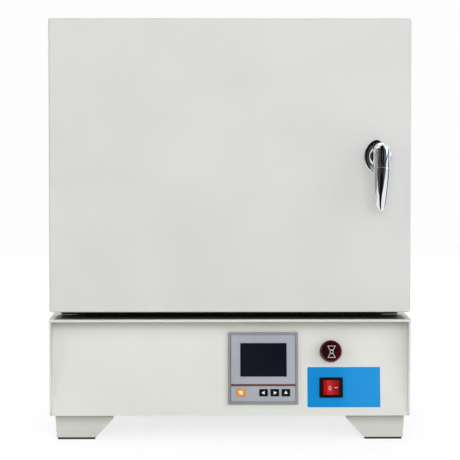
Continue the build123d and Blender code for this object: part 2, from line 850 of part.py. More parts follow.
# Cable gland and its nut
with BuildPart() as cable_gland:
    with BuildSketch(facing_front(rear)):
        with Locations(gland_place):
            RegularPolygon(gland_flange_radius, 6)
    extrude(amount=-gland_flange_height)
    with BuildSketch(facing_front(rear + gland_flange_height)):
        with Locations(gland_place):
            Circle(gland_dome_radius)
    extrude(amount=-gland_dome_height)
    fillet(cable_gland.faces().sort_by(Axis.Y)[-1].edges(), gland_dome_round)
    with BuildSketch(facing_front(rear)):
        with Locations(gland_place):
            Circle(gland_thread_radius)
    extrude(amount=gland_thread_length)
    with BuildSketch(facing_front(rear)):
        with Locations(gland_place):
            Circle(gland_bore)
    extrude(amount=base_depth / 2, both=True, mode=Mode.SUBTRACT)
write(cable_gland, "cable_gland")

with BuildPart() as gland_nut:
    with BuildSketch(facing_front(rear - sheet)):
        with Locations(gland_place):
            RegularPolygon(gland_nut_radius, 6)
            Circle(gland_thread_radius + running_fit, mode=Mode.SUBTRACT)
    extrude(amount=gland_nut_height)
write(gland_nut, "gland_nut")

# Cabinet wrap: sides and top from one sheet, with flanges turned in at the bottom and at the back
with BuildPart() as cabinet_wrap:
    with BuildSketch(facing_front(cabinet_front)):
        with BuildLine():
            FilletPolyline(
                (-(cabinet_half - fixing_flange), base_top + sheet / 2),
                (-(cabinet_half - sheet / 2), base_top + sheet / 2),
                (-(cabinet_half - sheet / 2), door_top - sheet / 2),
                (cabinet_half - sheet / 2, door_top - sheet / 2),
                (cabinet_half - sheet / 2, base_top + sheet / 2),
                (cabinet_half - fixing_flange, base_top + sheet / 2),
                radius=bend - sheet / 2,
            )
        trace(line_width=sheet)
    extrude(amount=-(rear - cabinet_front))
    with BuildSketch(facing_front(plate_back - sheet)):
        with Locations((0, (base_top + door_top) / 2)):
            RectangleRounded(cabinet_width - sheet, door_top - base_top - sheet, bend - sheet / 2)
        with Locations((0, (base_top + door_top) / 2 - fixing_flange)):
            Rectangle(cabinet_width - 2 * fixing_flange, door_top - base_top, mode=Mode.SUBTRACT)
    extrude(amount=-sheet)
    with BuildSketch(facing_front(rear)):
        with Locations(*cabinet_screw_places):
            Circle(screw_radius + running_fit)
    extrude(amount=3 * sheet, mode=Mode.SUBTRACT)
    with BuildSketch(Plane.XY.offset(base_top)):
        with Locations(*cabinet_foot_places):
            Circle(large_screw_radius + running_fit)
    extrude(amount=sheet, mode=Mode.SUBTRACT)
write(cabinet_wrap, "cabinet_wrap")

# Latch: its place, the slot that lets the tongue through and the space that it turns in
latch_x = door_width / 2 - latch_inset
latch_z = door_bottom + latch_height
tongue_front = frame_back + tongue_gap
slot_half = tongue_hub_radius + latch_clearance
slot_top = latch_z + slot_half
slot_bottom = latch_z - tongue_length - 2 * latch_clearance

# Front frame round the mouth, with the latch's slot
with BuildPart() as front_frame:
    with BuildSketch(facing_front(cabinet_front)):
        with Locations((0, board_middle)):
            RectangleRounded(*board_size, bend)
        with Locations((0, chamber_z)):
            Rectangle(throat_width, throat_height, mode=Mode.SUBTRACT)
        with Locations((latch_x, (slot_top + slot_bottom) / 2)):
            Rectangle(2 * slot_half, slot_top - slot_bottom, mode=Mode.SUBTRACT)
    extrude(amount=-frame_sheet)
write(front_frame, "front_frame")

# Front insulation: the throat goes through it, and the latch turns in a pocket in its face
with BuildPart() as insulation_front:
    with BuildSketch(facing_front(frame_back)):
        with Locations((0, board_middle)):
            RectangleRounded(*board_size, bend)
        with Locations((0, chamber_z)):
            Rectangle(throat_width, throat_height, mode=Mode.SUBTRACT)
    extrude(amount=-throat_depth)
    pocket_reach = tongue_length + latch_pocket_margin
    pocket_back = tongue_hub_radius + latch_pocket_margin
    pocket_shift = (pocket_reach - pocket_back) / 2
    with BuildSketch(facing_front(frame_back)):
        with Locations((latch_x + pocket_shift, latch_z - pocket_shift)):
            Rectangle(pocket_reach + pocket_back, pocket_reach + pocket_back)
    extrude(amount=-latch_pocket_depth, mode=Mode.SUBTRACT)
write(insulation_front, "insulation_front")

# Insulation round the muffle: bottom and top boards across, side boards between them
chamber_floor = chamber_z - chamber_height / 2
muffle_low = chamber_z - muffle_height / 2
muffle_high = chamber_z + muffle_height / 2
boards = {
    "insulation_bottom": (-board_half, board_half, board_low, muffle_low),
    "insulation_top": (-board_half, board_half, muffle_high, board_top),
    "insulation_left": (-board_half, -muffle_width / 2, muffle_low, muffle_high),
    "insulation_right": (muffle_width / 2, board_half, muffle_low, muffle_high),
}
for board_name, (left, right, low, high) in boards.items():
    with BuildPart() as board:
        with BuildSketch(facing_front(muffle_front)):
            with Locations(((left + right) / 2, (low + high) / 2)):
                Rectangle(right - left, high - low)
        extrude(amount=-(muffle_back - muffle_front))
        chamfer(board.edges().filter_by(Axis.Y), bend / 2)
        with BuildSketch(Plane.XY.offset(base_top)):
            with Locations(*cabinet_foot_places):
                Circle(large_screw_radius + slip)
        extrude(amount=large_screw_length, mode=Mode.SUBTRACT)
    write(board, board_name)

# Places where leads, thermocouple and flue go through the rear
element_x = chamber_width / 2 + groove_depth / 2
element_top = chamber_z + 1.5 * element_spacing
element_low = chamber_z - 1.5 * element_spacing
lead_places = [(side * element_x, z) for side in (-1, 1) for z in (element_low, element_top)]
thermocouple_place = (thermocouple_x, chamber_z)
flue_place = (0, chamber_z + chamber_height / 2 - flue_drop)

# Rear insulation with holes for what goes out at the back
with BuildPart() as insulation_rear:
    with BuildSketch(facing_front(muffle_back)):
        with Locations((0, board_middle)):
            RectangleRounded(*board_size, bend)
        with Locations(*lead_places):
            Circle(element_radius + slip, mode=Mode.SUBTRACT)
        with Locations(thermocouple_place):
            Circle(thermocouple_radius + slip, mode=Mode.SUBTRACT)
        with Locations(flue_place):
            Circle(flue_radius + slip, mode=Mode.SUBTRACT)
    extrude(amount=-(plate_back - sheet - muffle_back))
    with BuildSketch(facing_front(rear)):
        with Locations(*cabinet_screw_places, *cover_screw_places):
            Circle(screw_radius + slip)
    extrude(amount=screw_length + slip, mode=Mode.SUBTRACT)
    with BuildSketch(Plane.XY.offset(base_top)):
        with Locations(*cabinet_foot_places):
            Circle(large_screw_radius + slip)
    extrude(amount=large_screw_length, mode=Mode.SUBTRACT)
write(insulation_rear, "insulation_rear")

# Element route on one side wall: in at the back, four runs, out at the back
turn_front = muffle_front + element_end_margin
turn_back = chamber_back - element_end_margin
lead_end = rear + element_tail


def element_route():
    """The element's centre line on a plane of the side wall: X of the sketch is Y, Y of the sketch is Z."""
    heights = [element_low + n * element_spacing for n in range(4)]
    FilletPolyline(
        (lead_end, heights[0]),
        (turn_front, heights[0]),
        (turn_front, heights[1]),
        (turn_back, heights[1]),
        (turn_back, heights[2]),
        (turn_front, heights[2]),
        (turn_front, heights[3]),
        (lead_end, heights[3]),
        radius=element_bend,
    )


# Muffle: the ceramic chamber, open at the front, with grooves for the elements in its side walls
with BuildPart() as muffle:
    with BuildSketch(facing_front(muffle_front)):
        with Locations((0, chamber_z)):
            Rectangle(muffle_width, muffle_height)
    extrude(amount=-(muffle_back - muffle_front))
    with BuildSketch(facing_front(muffle_front)):
        with Locations((0, chamber_z)):
            RectangleRounded(chamber_width, chamber_height, chamber_corner)
    extrude(amount=-chamber_depth, mode=Mode.SUBTRACT)
    for side in (-1, 1):
        with BuildSketch(Plane.YZ.offset(side * (chamber_width / 2 + groove_depth / 2))):
            with BuildLine():
                element_route()
            trace(line_width=2 * (element_radius + slip))
        extrude(amount=groove_depth / 2 + slip, both=True, mode=Mode.SUBTRACT)
    with BuildSketch(facing_front(chamber_back)):
        with Locations(thermocouple_place):
            Circle(thermocouple_radius + slip)
        with Locations(flue_place):
            Circle(flue_radius + slip)
    extrude(amount=-muffle_wall, mode=Mode.SUBTRACT)
write(muffle, "muffle")

# Heating elements: a bent rod on each side wall, with its tails out at the back
for side_name, side in foot_sides.items():
    with BuildPart() as element:
        with BuildLine(Plane.YZ.offset(side * element_x)):
            element_route()
        with BuildSketch(facing_front(lead_end)):
            with Locations((side * element_x, element_low)):
                Circle(element_radius)
        sweep()
    write(element, f"element_{side_name}")

# Hearth plate on the chamber's floor
with BuildPart() as hearth_plate:
    with BuildSketch(facing_front(muffle_front + hearth_clearance)):
        with Locations((0, chamber_floor + hearth_thickness / 2)):
            Rectangle(chamber_width - 2 * chamber_corner, hearth_thickness)
    extrude(amount=-(chamber_depth - 2 * hearth_clearance))
write(hearth_plate, "hearth_plate")

# Thermocouple: a thin sheath into the chamber, with its head on the cabinet's back
with BuildPart() as thermocouple:
    with BuildSketch(facing_front(chamber_back - thermocouple_reach)):
        with Locations(thermocouple_place):
            Circle(thermocouple_radius)
    extrude(amount=-(rear - chamber_back + thermocouple_reach))
    fillet(thermocouple.faces().sort_by(Axis.Y)[0].edges(), thermocouple_radius - thermocouple_tip_flat)
    with BuildSketch(facing_front(rear)):
        with Locations(thermocouple_place):
            Circle(thermocouple_head_radius)
    extrude(amount=-thermocouple_head_length)
write(thermocouple, "thermocouple")

# Flue: a tube from the chamber out through the rear cover, ending in a thicker spigot
with BuildPart() as exhaust_tube:
    with BuildSketch(facing_front(chamber_back)):
        with Locations(flue_place):
            Circle(flue_radius)
            Circle(flue_radius - flue_wall, mode=Mode.SUBTRACT)
    extrude(amount=-(rear + rear_reach - chamber_back))
    with BuildSketch(facing_front(rear + rear_cover_depth)):
        with Locations(flue_place):
            Circle(flue_spigot_radius)
            Circle(flue_radius - flue_wall, mode=Mode.SUBTRACT)
    extrude(amount=-flue_reach)
write(exhaust_tube, "exhaust_tube")

# Cabinet back
with BuildPart() as cabinet_back:
    with BuildSketch(facing_front(plate_back)):
        with Locations((0, board_middle)):
            RectangleRounded(*board_size, bend)
        with Locations(*lead_places):
            Circle(bush_neck_radius + slip, mode=Mode.SUBTRACT)
        with Locations(thermocouple_place):
            Circle(thermocouple_radius + slip, mode=Mode.SUBTRACT)
        with Locations(flue_place):
            Circle(flue_radius + slip, mode=Mode.SUBTRACT)
        with Locations(*cabinet_screw_places, *cover_screw_places):
            Circle(screw_radius + running_fit, mode=Mode.SUBTRACT)
    extrude(amount=-sheet)
write(cabinet_back, "cabinet_back")

# Ceramic bushes that carry the element's tails through the cabinet's back
with BuildPart() as lead_bushes:
    with BuildSketch(facing_front(rear)):
        with Locations(*lead_places):
            Circle(bush_radius)
    extrude(amount=-bush_length)
    with BuildSketch(facing_front(plate_back)):
        with Locations(*lead_places):
            Circle(bush_neck_radius)
    extrude(amount=-sheet)
    with BuildSketch(facing_front(plate_back)):
        with Locations(*lead_places):
            Circle(element_radius + slip)
    extrude(amount=-(bush_length + sheet), mode=Mode.SUBTRACT)
write(lead_bushes, "lead_bushes")

# Rear cover over the connections, with two side flanges and two fields of vents
cover_back = rear + rear_cover_depth
with BuildPart() as rear_cover:
    with BuildSketch(facing_front(rear)):
        with Locations((0, chamber_z)):
            Rectangle(cover_width, cover_height)
    extrude(amount=-rear_cover_depth)
    fillet(rear_cover.faces().sort_by(Axis.Y)[-1].edges(), cover_round)
    with BuildSketch(facing_front(rear)):
        with Locations((0, chamber_z)):
            Rectangle(cover_width - 2 * cover_sheet, cover_height - 2 * cover_sheet)
    extrude(amount=-(rear_cover_depth - cover_sheet), mode=Mode.SUBTRACT)
    for side in (-1, 1):
        with BuildSketch(facing_front(rear)):
            with Locations((side * (cover_width / 2 + cover_flange / 2 - cover_sheet / 2), chamber_z)):
                Rectangle(cover_flange + cover_sheet, cover_height)
            with Locations(*cover_screw_places):
                Circle(screw_radius + running_fit, mode=Mode.SUBTRACT)
        extrude(amount=-cover_sheet)
    with BuildSketch(facing_front(cover_back)):
        with Locations((0, chamber_z)):
            with GridLocations(cover_vent_spread, vent_pitch, 2, vent_count):
                SlotOverall(vent_length, vent_width)
        with Locations(flue_place):
            Circle(flue_radius + slip)
    extrude(amount=2 * cover_sheet, mode=Mode.SUBTRACT)
write(rear_cover, "rear_cover")

# Screws of the back panels and of the rear cover
with BuildPart() as back_screws:
    for places, seat in (
        (base_screw_places + cabinet_screw_places, rear),
        (cover_screw_places, rear + cover_sheet),
    ):
        with BuildSketch(facing_front(seat)):
            with Locations(*places):
                Circle(screw_head_radius)
        extrude(amount=-screw_head_height)
        with BuildSketch(facing_front(seat)):
            with Locations(*places):
                Circle(screw_radius)
        extrude(amount=screw_length)
write(back_screws, "back_screws")

# Door pan: front and four walls from one sheet
door_middle = (door_bottom + door_top) / 2
with BuildPart() as door_skin:
    with BuildSketch(facing_front(front)):
        with Locations((0, door_middle)):
            Rectangle(door_width, door_height)
    extrude(amount=-door_depth)
    fillet(door_skin.edges().filter_by(Axis.Y), door_corner_radius)
    fillet(door_skin.faces().sort_by(Axis.Y)[0].edges(), door_edge_radius)
    with BuildSketch(facing_front(front + sheet)):
        with Locations((0, door_middle)):
            RectangleRounded(door_width - 2 * sheet, door_height - 2 * sheet, door_corner_radius - sheet)
    extrude(amount=-door_depth, mode=Mode.SUBTRACT)
    with BuildSketch(facing_front(front, latch_x, latch_z)):
        Circle(spindle_radius + bush_wall + running_fit)
    extrude(amount=-2 * sheet, mode=Mode.SUBTRACT)
write(door_skin, "door_skin")

# Door insulation, cut for the spindle's bush
pan_width = door_width - 2 * sheet - 2 * fold_gap
pan_height = door_height - 2 * sheet - 2 * fold_gap
pan_corner = door_corner_radius
with BuildPart() as door_insulation:
    with BuildSketch(facing_front(front + sheet)):
        with Locations((0, door_middle)):
            RectangleRounded(pan_width, pan_height, pan_corner)
        with Locations((latch_x, latch_z)):
            Circle(spindle_radius + bush_wall + running_fit, mode=Mode.SUBTRACT)
    extrude(amount=-(door_depth - 2 * sheet))
write(door_insulation, "door_insulation")

# Door back plate, open where the plug comes through
plug_width = throat_width - 2 * plug_clearance
plug_height = throat_height - 2 * plug_clearance
with BuildPart() as door_back:
    with BuildSketch(facing_front(door_back_y - sheet)):
        with Locations((0, door_middle)):
            RectangleRounded(pan_width, pan_height, pan_corner)
        with Locations((0, chamber_z)):
            Rectangle(plug_width + 2 * fold_gap, plug_height + 2 * fold_gap, mode=Mode.SUBTRACT)
        with Locations((latch_x, latch_z)):
            Circle(spindle_radius + bush_wall + running_fit, mode=Mode.SUBTRACT)
    extrude(amount=-sheet)
write(door_back, "door_back")

# Tapered plug that fills the throat when the door is shut
with BuildPart() as door_plug:
    with BuildSketch(facing_front(door_back_y - sheet)):
        with Locations((0, chamber_z)):
            Rectangle(plug_width, plug_height)
    extrude(amount=-(sheet + seal_gap))
    with BuildSketch(facing_front(cabinet_front)):
        with Locations((0, chamber_z)):
            Rectangle(plug_width, plug_height)
    extrude(amount=-(frame_sheet + throat_depth - plug_clearance), taper=plug_taper)
write(door_plug, "door_plug")

# Rope seal round the throat
with BuildPart() as door_seal:
    with BuildSketch(facing_front(door_back_y)):
        with Locations((0, chamber_z)):
            RectangleRounded(
                throat_width + 2 * (seal_inner + seal_width),
                throat_height + 2 * (seal_inner + seal_width),
                seal_inner + seal_width,
            )
            RectangleRounded(
                throat_width + 2 * seal_inner, throat_height + 2 * seal_inner, seal_inner, mode=Mode.SUBTRACT
            )
    extrude(amount=-(seal_gap - tongue_gap))
    fillet(door_seal.faces().sort_by(Axis.Y)[-1].edges(), seal_round)
write(door_seal, "door_seal")

# Hinges: the axis stands beside the cabinet's left side, just behind the door
hinge_x = -(cabinet_half + knuckle_side_gap + knuckle_radius)
hinge_y = door_back_y + knuckle_clearance + knuckle_radius
hinge_places = (door_bottom + hinge_inset, door_top - hinge_inset)
knuckle_height = (hinge_height - 2 * knuckle_gap) / 3
outer_knuckle_offset = knuckle_height + knuckle_gap
leaf_clear = knuckle_radius + knuckle_pass  # leaf edge from the axis beside the other leaf's knuckles

# Cabinet leaves: outer knuckles, and a plate on the cabinet's side
with BuildPart() as cabinet_hinge_leaves:
    for hinge_z in hinge_places:
        for shift in (-outer_knuckle_offset, outer_knuckle_offset):
            with BuildSketch(Plane.XY.offset(hinge_z + shift - knuckle_height / 2)):
                with Locations((hinge_x, hinge_y)):
                    Circle(knuckle_radius)
                with Locations((-cabinet_half - leaf_thickness / 2, hinge_y + leaf_clear / 2)):
                    Rectangle(leaf_thickness, leaf_clear)
                with Locations((hinge_x, hinge_y)):
                    Circle(hinge_pin_radius + running_fit, mode=Mode.SUBTRACT)
            extrude(amount=knuckle_height)
        with BuildSketch(Plane.XY.offset(hinge_z - hinge_height / 2)):
            with Locations((-cabinet_half - leaf_thickness / 2, hinge_y + (leaf_clear + leaf_width) / 2)):
                Rectangle(leaf_thickness, leaf_width - leaf_clear)
        extrude(amount=hinge_height)
write(cabinet_hinge_leaves, "cabinet_hinge_leaves")

# Door leaves: middle knuckle, and a plate on the door's back
with BuildPart() as door_hinge_leaves:
    for hinge_z in hinge_places:
        with BuildSketch(Plane.XY.offset(hinge_z - knuckle_height / 2)):
            with Locations((hinge_x, hinge_y)):
                Circle(knuckle_radius)
            with Locations((hinge_x + leaf_clear / 2, door_back_y + leaf_thickness / 2)):
                Rectangle(leaf_clear, leaf_thickness)
            with Locations((hinge_x, hinge_y)):
                Circle(hinge_pin_radius + running_fit, mode=Mode.SUBTRACT)
        extrude(amount=knuckle_height)
        with BuildSketch(Plane.XY.offset(hinge_z - hinge_height / 2)):
            with Locations((hinge_x + (leaf_clear + leaf_width) / 2, door_back_y + leaf_thickness / 2)):
                Rectangle(leaf_width - leaf_clear, leaf_thickness)
        extrude(amount=hinge_height)
write(door_hinge_leaves, "door_hinge_leaves")

# Hinge pins, with a head at the top
with BuildPart() as hinge_pins:
    for hinge_z in hinge_places:
        with BuildSketch(Plane.XY.offset(hinge_z - hinge_height / 2)):
            with Locations((hinge_x, hinge_y)):
                Circle(hinge_pin_radius)
        extrude(amount=hinge_height)
        with BuildSketch(Plane.XY.offset(hinge_z + hinge_height / 2)):
            with Locations((hinge_x, hinge_y)):
                Circle(pin_head_radius)
        extrude(amount=pin_head_height)
write(hinge_pins, "hinge_pins")

# Spindle bush through the door
latch_point = (latch_x, latch_z)
with BuildPart() as spindle_bush:
    with BuildSketch(facing_front(front)):
        with Locations(latch_point):
            Circle(spindle_radius + bush_wall)
            Circle(spindle_radius + running_fit, mode=Mode.SUBTRACT)
    extrude(amount=-door_depth)
write(spindle_bush, "spindle_bush")

# Rosette: a stepped oval plate, with a round hub that the handle's neck turns against
with BuildPart() as rosette:
    with BuildSketch(facing_front(front, latch_x - rosette_shift, latch_z)):
        Ellipse(rosette_size[0] / 2, rosette_size[1] / 2)
    extrude(amount=rosette_thickness)
    chamfer(rosette.faces().sort_by(Axis.Y)[0].edges(), rosette_step)
    with BuildSketch(facing_front(front)):
        with Locations(latch_point):
            Circle(hub_radius)
    extrude(amount=hub_height)
    chamfer(rosette.faces().sort_by(Axis.Y)[0].edges(), rosette_step)
    with BuildSketch(facing_front(front)):
        with Locations(latch_point):
            Circle(spindle_radius + running_fit)
    extrude(amount=hub_height, mode=Mode.SUBTRACT)
write(rosette, "rosette")

# Handle: neck, rounded head and a tapering blade with a rounded front
handle_front = front - handle_reach
head_back = handle_front + head_depth
neck_end = front - hub_height - slip
blade_y = handle_front + blade_setback

# Cross-sections of the blade, from the head down: height, width, depth and how far the front is rounded back
blade_sections = (
    (latch_z - head_below + blade_overlap, head_width - 2 * blade_step, blade_depth, blade_crown),
    (latch_z - blade_middle, blade_middle_width, blade_middle_depth, blade_middle_crown),
    (latch_z - blade_shoulder, blade_end_width, blade_end_depth, blade_end_crown),
    (latch_z - blade_tip, blade_tip_width, blade_end_depth / 2, blade_tip_crown),
)

with BuildPart() as handle_lever:
    with BuildSketch(facing_front(handle_front, latch_x, latch_z)):
        with BuildLine():
            side_top_z = head_above - head_width / 2
            Polyline(
                (-head_width / 2, side_top_z),
                (-head_width / 2, -head_below),
                (head_width / 2, -head_below),
                (head_width / 2, side_top_z),
            )
            RadiusArc((head_width / 2, side_top_z), (-head_width / 2, side_top_z), -head_width / 2)
        make_face()
    extrude(amount=-head_depth)
    fillet(handle_lever.faces().sort_by(Axis.Y)[0].edges().sort_by(Axis.Z)[1:], head_round)
    for upper, lower in zip(blade_sections, blade_sections[1:]):
        for z, width, depth, crown in (upper, lower):
            left, right = latch_x - width / 2, latch_x + width / 2
            with BuildSketch(Plane.XY.offset(z)):
                with BuildLine():
                    ThreePointArc((left, blade_y + crown), (latch_x, blade_y), (right, blade_y + crown))
                    Polyline(
                        (right, blade_y + crown),
                        (right, blade_y + depth),
                        (left, blade_y + depth),
                        (left, blade_y + crown),
                    )
                make_face()
        loft(ruled=True)
    with BuildSketch(facing_front(head_back)):
        with Locations(latch_point):
            Circle(neck_radius)
    extrude(amount=-(neck_end - head_back))
    with BuildSketch(facing_front(neck_end)):
        with Locations(latch_point):
            Circle(spindle_radius + running_fit)
    extrude(amount=neck_end - head_back + head_depth / 2, mode=Mode.SUBTRACT)
write(handle_lever, "handle_lever")

# Spindle from the handle's head to the tongue
tongue_back = tongue_front + tongue_thickness
spindle_start = handle_front + head_depth / 2 + slip
with BuildPart() as spindle:
    with BuildSketch(facing_front(spindle_start)):
        with Locations(latch_point):
            Circle(spindle_radius)
    extrude(amount=-(tongue_back + 3 * tongue_gap - spindle_start))
    with BuildSketch(facing_front(tongue_back)):
        with Locations(latch_point):
            Circle(tongue_hub_radius - latch_clearance)
    extrude(amount=-spindle_hub_length)
write(spindle, "spindle")

# Tongue behind the front frame, pointing right when the handle hangs down
with BuildPart() as latch_tongue:
    with BuildSketch(facing_front(tongue_front)):
        with Locations(latch_point):
            Circle(tongue_hub_radius)
        with Locations((latch_x + tongue_length / 2, latch_z)):
            Rectangle(tongue_length, tongue_width)
        with Locations(latch_point):
            Circle(spindle_radius + running_fit, mode=Mode.SUBTRACT)
    extrude(amount=-tongue_thickness)
    fillet(latch_tongue.edges().filter_by(Axis.Y).group_by(Axis.X)[-1], tongue_round)
write(latch_tongue, "latch_tongue")
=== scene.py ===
import json
import math

import bmesh
import bpy
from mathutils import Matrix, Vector


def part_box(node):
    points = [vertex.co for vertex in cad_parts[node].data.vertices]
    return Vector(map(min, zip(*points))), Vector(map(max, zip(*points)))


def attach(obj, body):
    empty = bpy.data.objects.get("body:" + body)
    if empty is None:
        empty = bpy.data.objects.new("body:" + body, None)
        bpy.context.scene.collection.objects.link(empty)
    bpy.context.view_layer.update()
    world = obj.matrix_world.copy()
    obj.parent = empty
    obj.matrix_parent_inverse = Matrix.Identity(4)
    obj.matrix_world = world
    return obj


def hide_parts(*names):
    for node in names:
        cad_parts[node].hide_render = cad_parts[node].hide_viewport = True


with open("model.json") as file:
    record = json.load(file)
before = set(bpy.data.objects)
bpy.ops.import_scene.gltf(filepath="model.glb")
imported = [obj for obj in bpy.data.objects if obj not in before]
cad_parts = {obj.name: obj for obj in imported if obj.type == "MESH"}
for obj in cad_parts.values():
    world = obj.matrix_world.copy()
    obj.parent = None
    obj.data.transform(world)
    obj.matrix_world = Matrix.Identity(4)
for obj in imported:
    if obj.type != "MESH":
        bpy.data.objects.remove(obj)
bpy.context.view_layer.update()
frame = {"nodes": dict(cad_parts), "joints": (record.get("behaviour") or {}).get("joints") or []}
nodes = frame["nodes"]

# Base shell
# One steel sheet folded into the bottom and both cheeks, with narrow flanges behind for the back panel.
# Like all outside sheets it is powder coated in a warm white, which leaves a very fine, soft grain.
mm = 0.001


def tint(red, green, blue):
    """A paint colour read off from 0 to 255, as a shader takes it."""
    return (*(((c / 255 + 0.055) / 1.055) ** 2.4 if c > 10 else c / 3295 for c in (red, green, blue)), 1.0)


def put(tree, kind, inputs=None, **settings):
    """Adds a node with its settings; an input is a value, or the output that it is linked to."""
    node = tree.nodes.new("ShaderNode" + kind)
    for label, value in settings.items():
        setattr(node, label, value)
    for label, value in (inputs or {}).items():
        if isinstance(value, bpy.types.NodeSocket):
            tree.links.new(value, node.inputs[label])
        else:
            node.inputs[label].default_value = value
    return node


def maths(tree, kind, *values):
    """The result of one sum, such as ADD or SINE."""
    return put(tree, "Math", dict(enumerate(values)), operation=kind).outputs[0]


def noise(tree, place, scale, detail, rough):
    """A soft noise that runs from 0 to 1."""
    inputs = {"Vector": place, "Scale": scale, "Detail": detail, "Roughness": rough}
    return put(tree, "TexNoise", inputs).outputs["Fac"]


def ramp(tree, value, *stops):
    """Turns a value into a colour: each stop is a position and a colour."""
    node = put(tree, "ValToRGB", {"Fac": value})
    elements = node.color_ramp.elements
    while len(elements) < len(stops):
        elements.new(0.5)
    for element, (position, colour) in zip(elements, stops):
        element.position, element.color = position, colour
    return node.outputs["Color"]


def clouded(tree, cloud, dark, light):
    """Two close colours in slow clouds."""
    return ramp(tree, cloud, (0.35, dark), (0.65, light))


def between(tree, value, low, high, start=0.0, end=1.0):
    """Turns a value that runs from start to end into one that runs from low to high."""
    limits = {"Value": value, "From Min": start, "From Max": end, "To Min": low, "To Max": high}
    return put(tree, "MapRange", limits).outputs["Result"]


def new_effect(name, inputs, outputs):
    """A node group for an effect that several finishes share; returns it with its ends."""
    group = bpy.data.node_groups.new(name, "ShaderNodeTree")
    for label, kind in inputs.items():
        group.interface.new_socket(name=label, in_out="INPUT", socket_type="NodeSocket" + kind)
    for label, kind in outputs.items():
        group.interface.new_socket(name=label, in_out="OUTPUT", socket_type="NodeSocket" + kind)
    return group, group.nodes.new("NodeGroupInput").outputs, group.nodes.new("NodeGroupOutput").inputs


def effect(tree, group, **inputs):
    """Places a shared effect in a finish, and returns what it puts out."""
    return put(tree, "Group", inputs, node_tree=group).outputs


def new_finish(name, **constants):
    """A new material, its tree, its shader and its object coordinates."""
    finish = bpy.data.materials.new(name)
    finish.use_nodes = True
    tree = finish.node_tree
    shader = tree.nodes["Principled BSDF"]
    for label, value in constants.items():
        shader.inputs[label.replace("_", " ")].default_value = value
    return finish, tree, shader, put(tree, "TexCoord").outputs["Object"]


def surface(tree, shader, colour, roughness, height=None, depth=0.0):
    """Links a finish's colour, roughness and relief to its shader."""
    tree.links.new(colour, shader.inputs["Base Color"])
    tree.links.new(roughness, shader.inputs["Roughness"])
    if height is not None:
        bump = put(tree, "Bump", {"Height": height, "Distance": depth, "Strength": 1.0})
        tree.links.new(bump.outputs["Normal"], shader.inputs["Normal"])


def dress(finish, *names):
    """Gives a finish to nodes whose shape is right as it is."""
    for name in names:
        for place in nodes[name].material_slots:
            place.material = finish


# Fine grain of a sprayed or moulded skin, and the slow clouds of an uneven coat
grain, ends, out = new_effect("grain", {"Place": "Vector", "Scale": "Float"},
                              {"Height": "Float", "Cloud": "Float"})
cloud_scale = maths(grain, "MULTIPLY", ends["Scale"], 0.012)
grain.links.new(noise(grain, ends["Place"], ends["Scale"], 2.0, 0.45), out["Height"])
grain.links.new(noise(grain, ends["Place"], cloud_scale, 3.0, 0.5), out["Cloud"])
enamel_scale, enamel_relief, enamel_dull = 900.0, 0.012, 0.46


def dulled(tree, cloud, dull=enamel_dull):
    """A roughness that changes a little with the clouds."""
    return between(tree, cloud, dull - 0.04, dull + 0.04, 0.3, 0.7)


def coated(name, dark, light, scale=enamel_scale, relief=enamel_relief, dull=enamel_dull, **constants):
    """A coated or moulded skin: two close colours in clouds, and the fine grain."""
    finish, tree, shader, place = new_finish(name, **constants)
    skin = effect(tree, grain, Place=place, Scale=scale)
    colour = clouded(tree, skin["Cloud"], dark, light)
    surface(tree, shader, colour, dulled(tree, skin["Cloud"], dull), skin["Height"], relief * mm)
    return finish


coat_dark, coat_light = tint(219, 220, 214), tint(223, 224, 218)
enamel = coated("enamel", coat_dark, coat_light)
dress(enamel, "base_shell")

# Feet and pads
# Four feet folded from sheet, with a slanting inner side, in the box's coat painted a little greyer as the
# shade under the box, and darker still towards their tops as painted shade of its edge. A black rubber pad with
# soft edges is glued under each.


def axes(tree, place):
    """A place's three parts, X, Y and Z."""
    return put(tree, "SeparateXYZ", {"Vector": place}).outputs


def mixed(tree, share, first, second, **settings):
    """A first colour with a share of a second one."""
    return put(tree, "Mix", {0: share, 6: first, 7: second}, data_type="RGBA", **settings).outputs[2]


def shade_painted_enamel(name, low, high, *stops):
    """An enamel whose colour changes on the way up from low to high, as painted shade under an edge."""
    finish, tree, shader, place = new_finish(name)
    skin = effect(tree, grain, Place=place, Scale=enamel_scale)
    painted_shade = ramp(tree, between(tree, axes(tree, place)["Z"], 0.0, 1.0, low, high), *stops)
    cloudy = clouded(tree, skin["Cloud"], (0.96, 0.96, 0.96, 1), (1, 1, 1, 1))
    paint = mixed(tree, 1.0, painted_shade, cloudy, blend_type="MULTIPLY")
    surface(tree, shader, paint, dulled(tree, skin["Cloud"]), skin["Height"], enamel_relief * mm)
    return finish


foot_top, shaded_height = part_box("foot_front_left")[1].z, 14 * mm
# Painted shade: greyer than the box's coat, and darker towards the top under the box's edge.
foot_enamel = shade_painted_enamel("foot_enamel", foot_top - shaded_height, foot_top,
                     (0.0, tint(205, 206, 200)), (0.4, tint(194, 194, 187)), (0.85, tint(169, 168, 157)))
dress(foot_enamel, "foot_front_left", "foot_front_right", "foot_rear_left", "foot_rear_right")


def alone(piece):
    """Selects one piece and nothing else."""
    bpy.ops.object.select_all(action="DESELECT")
    piece.select_set(True)
    bpy.context.view_layer.objects.active = piece


def change(piece, kind, **settings):
    """Adds a modifier to a piece and applies it."""
    alone(piece)
    modifier = piece.modifiers.new(kind.lower(), kind)
    for label, value in settings.items():
        setattr(modifier, label, value)
    bpy.ops.object.modifier_apply(modifier=modifier.name)


def eased(piece, width, steps=2, sharper_than=30):
    """Rounds a piece's edges and shades it smooth up to them."""
    if width:
        change(piece, "BEVEL", width=width * mm, segments=steps, limit_method="ANGLE",
               angle_limit=math.radians(sharper_than))
    alone(piece)
    bpy.ops.object.shade_smooth_by_angle(angle=math.radians(sharper_than))
    change(piece, "WEIGHTED_NORMAL", mode="FACE_AREA", weight=100, keep_sharp=True)


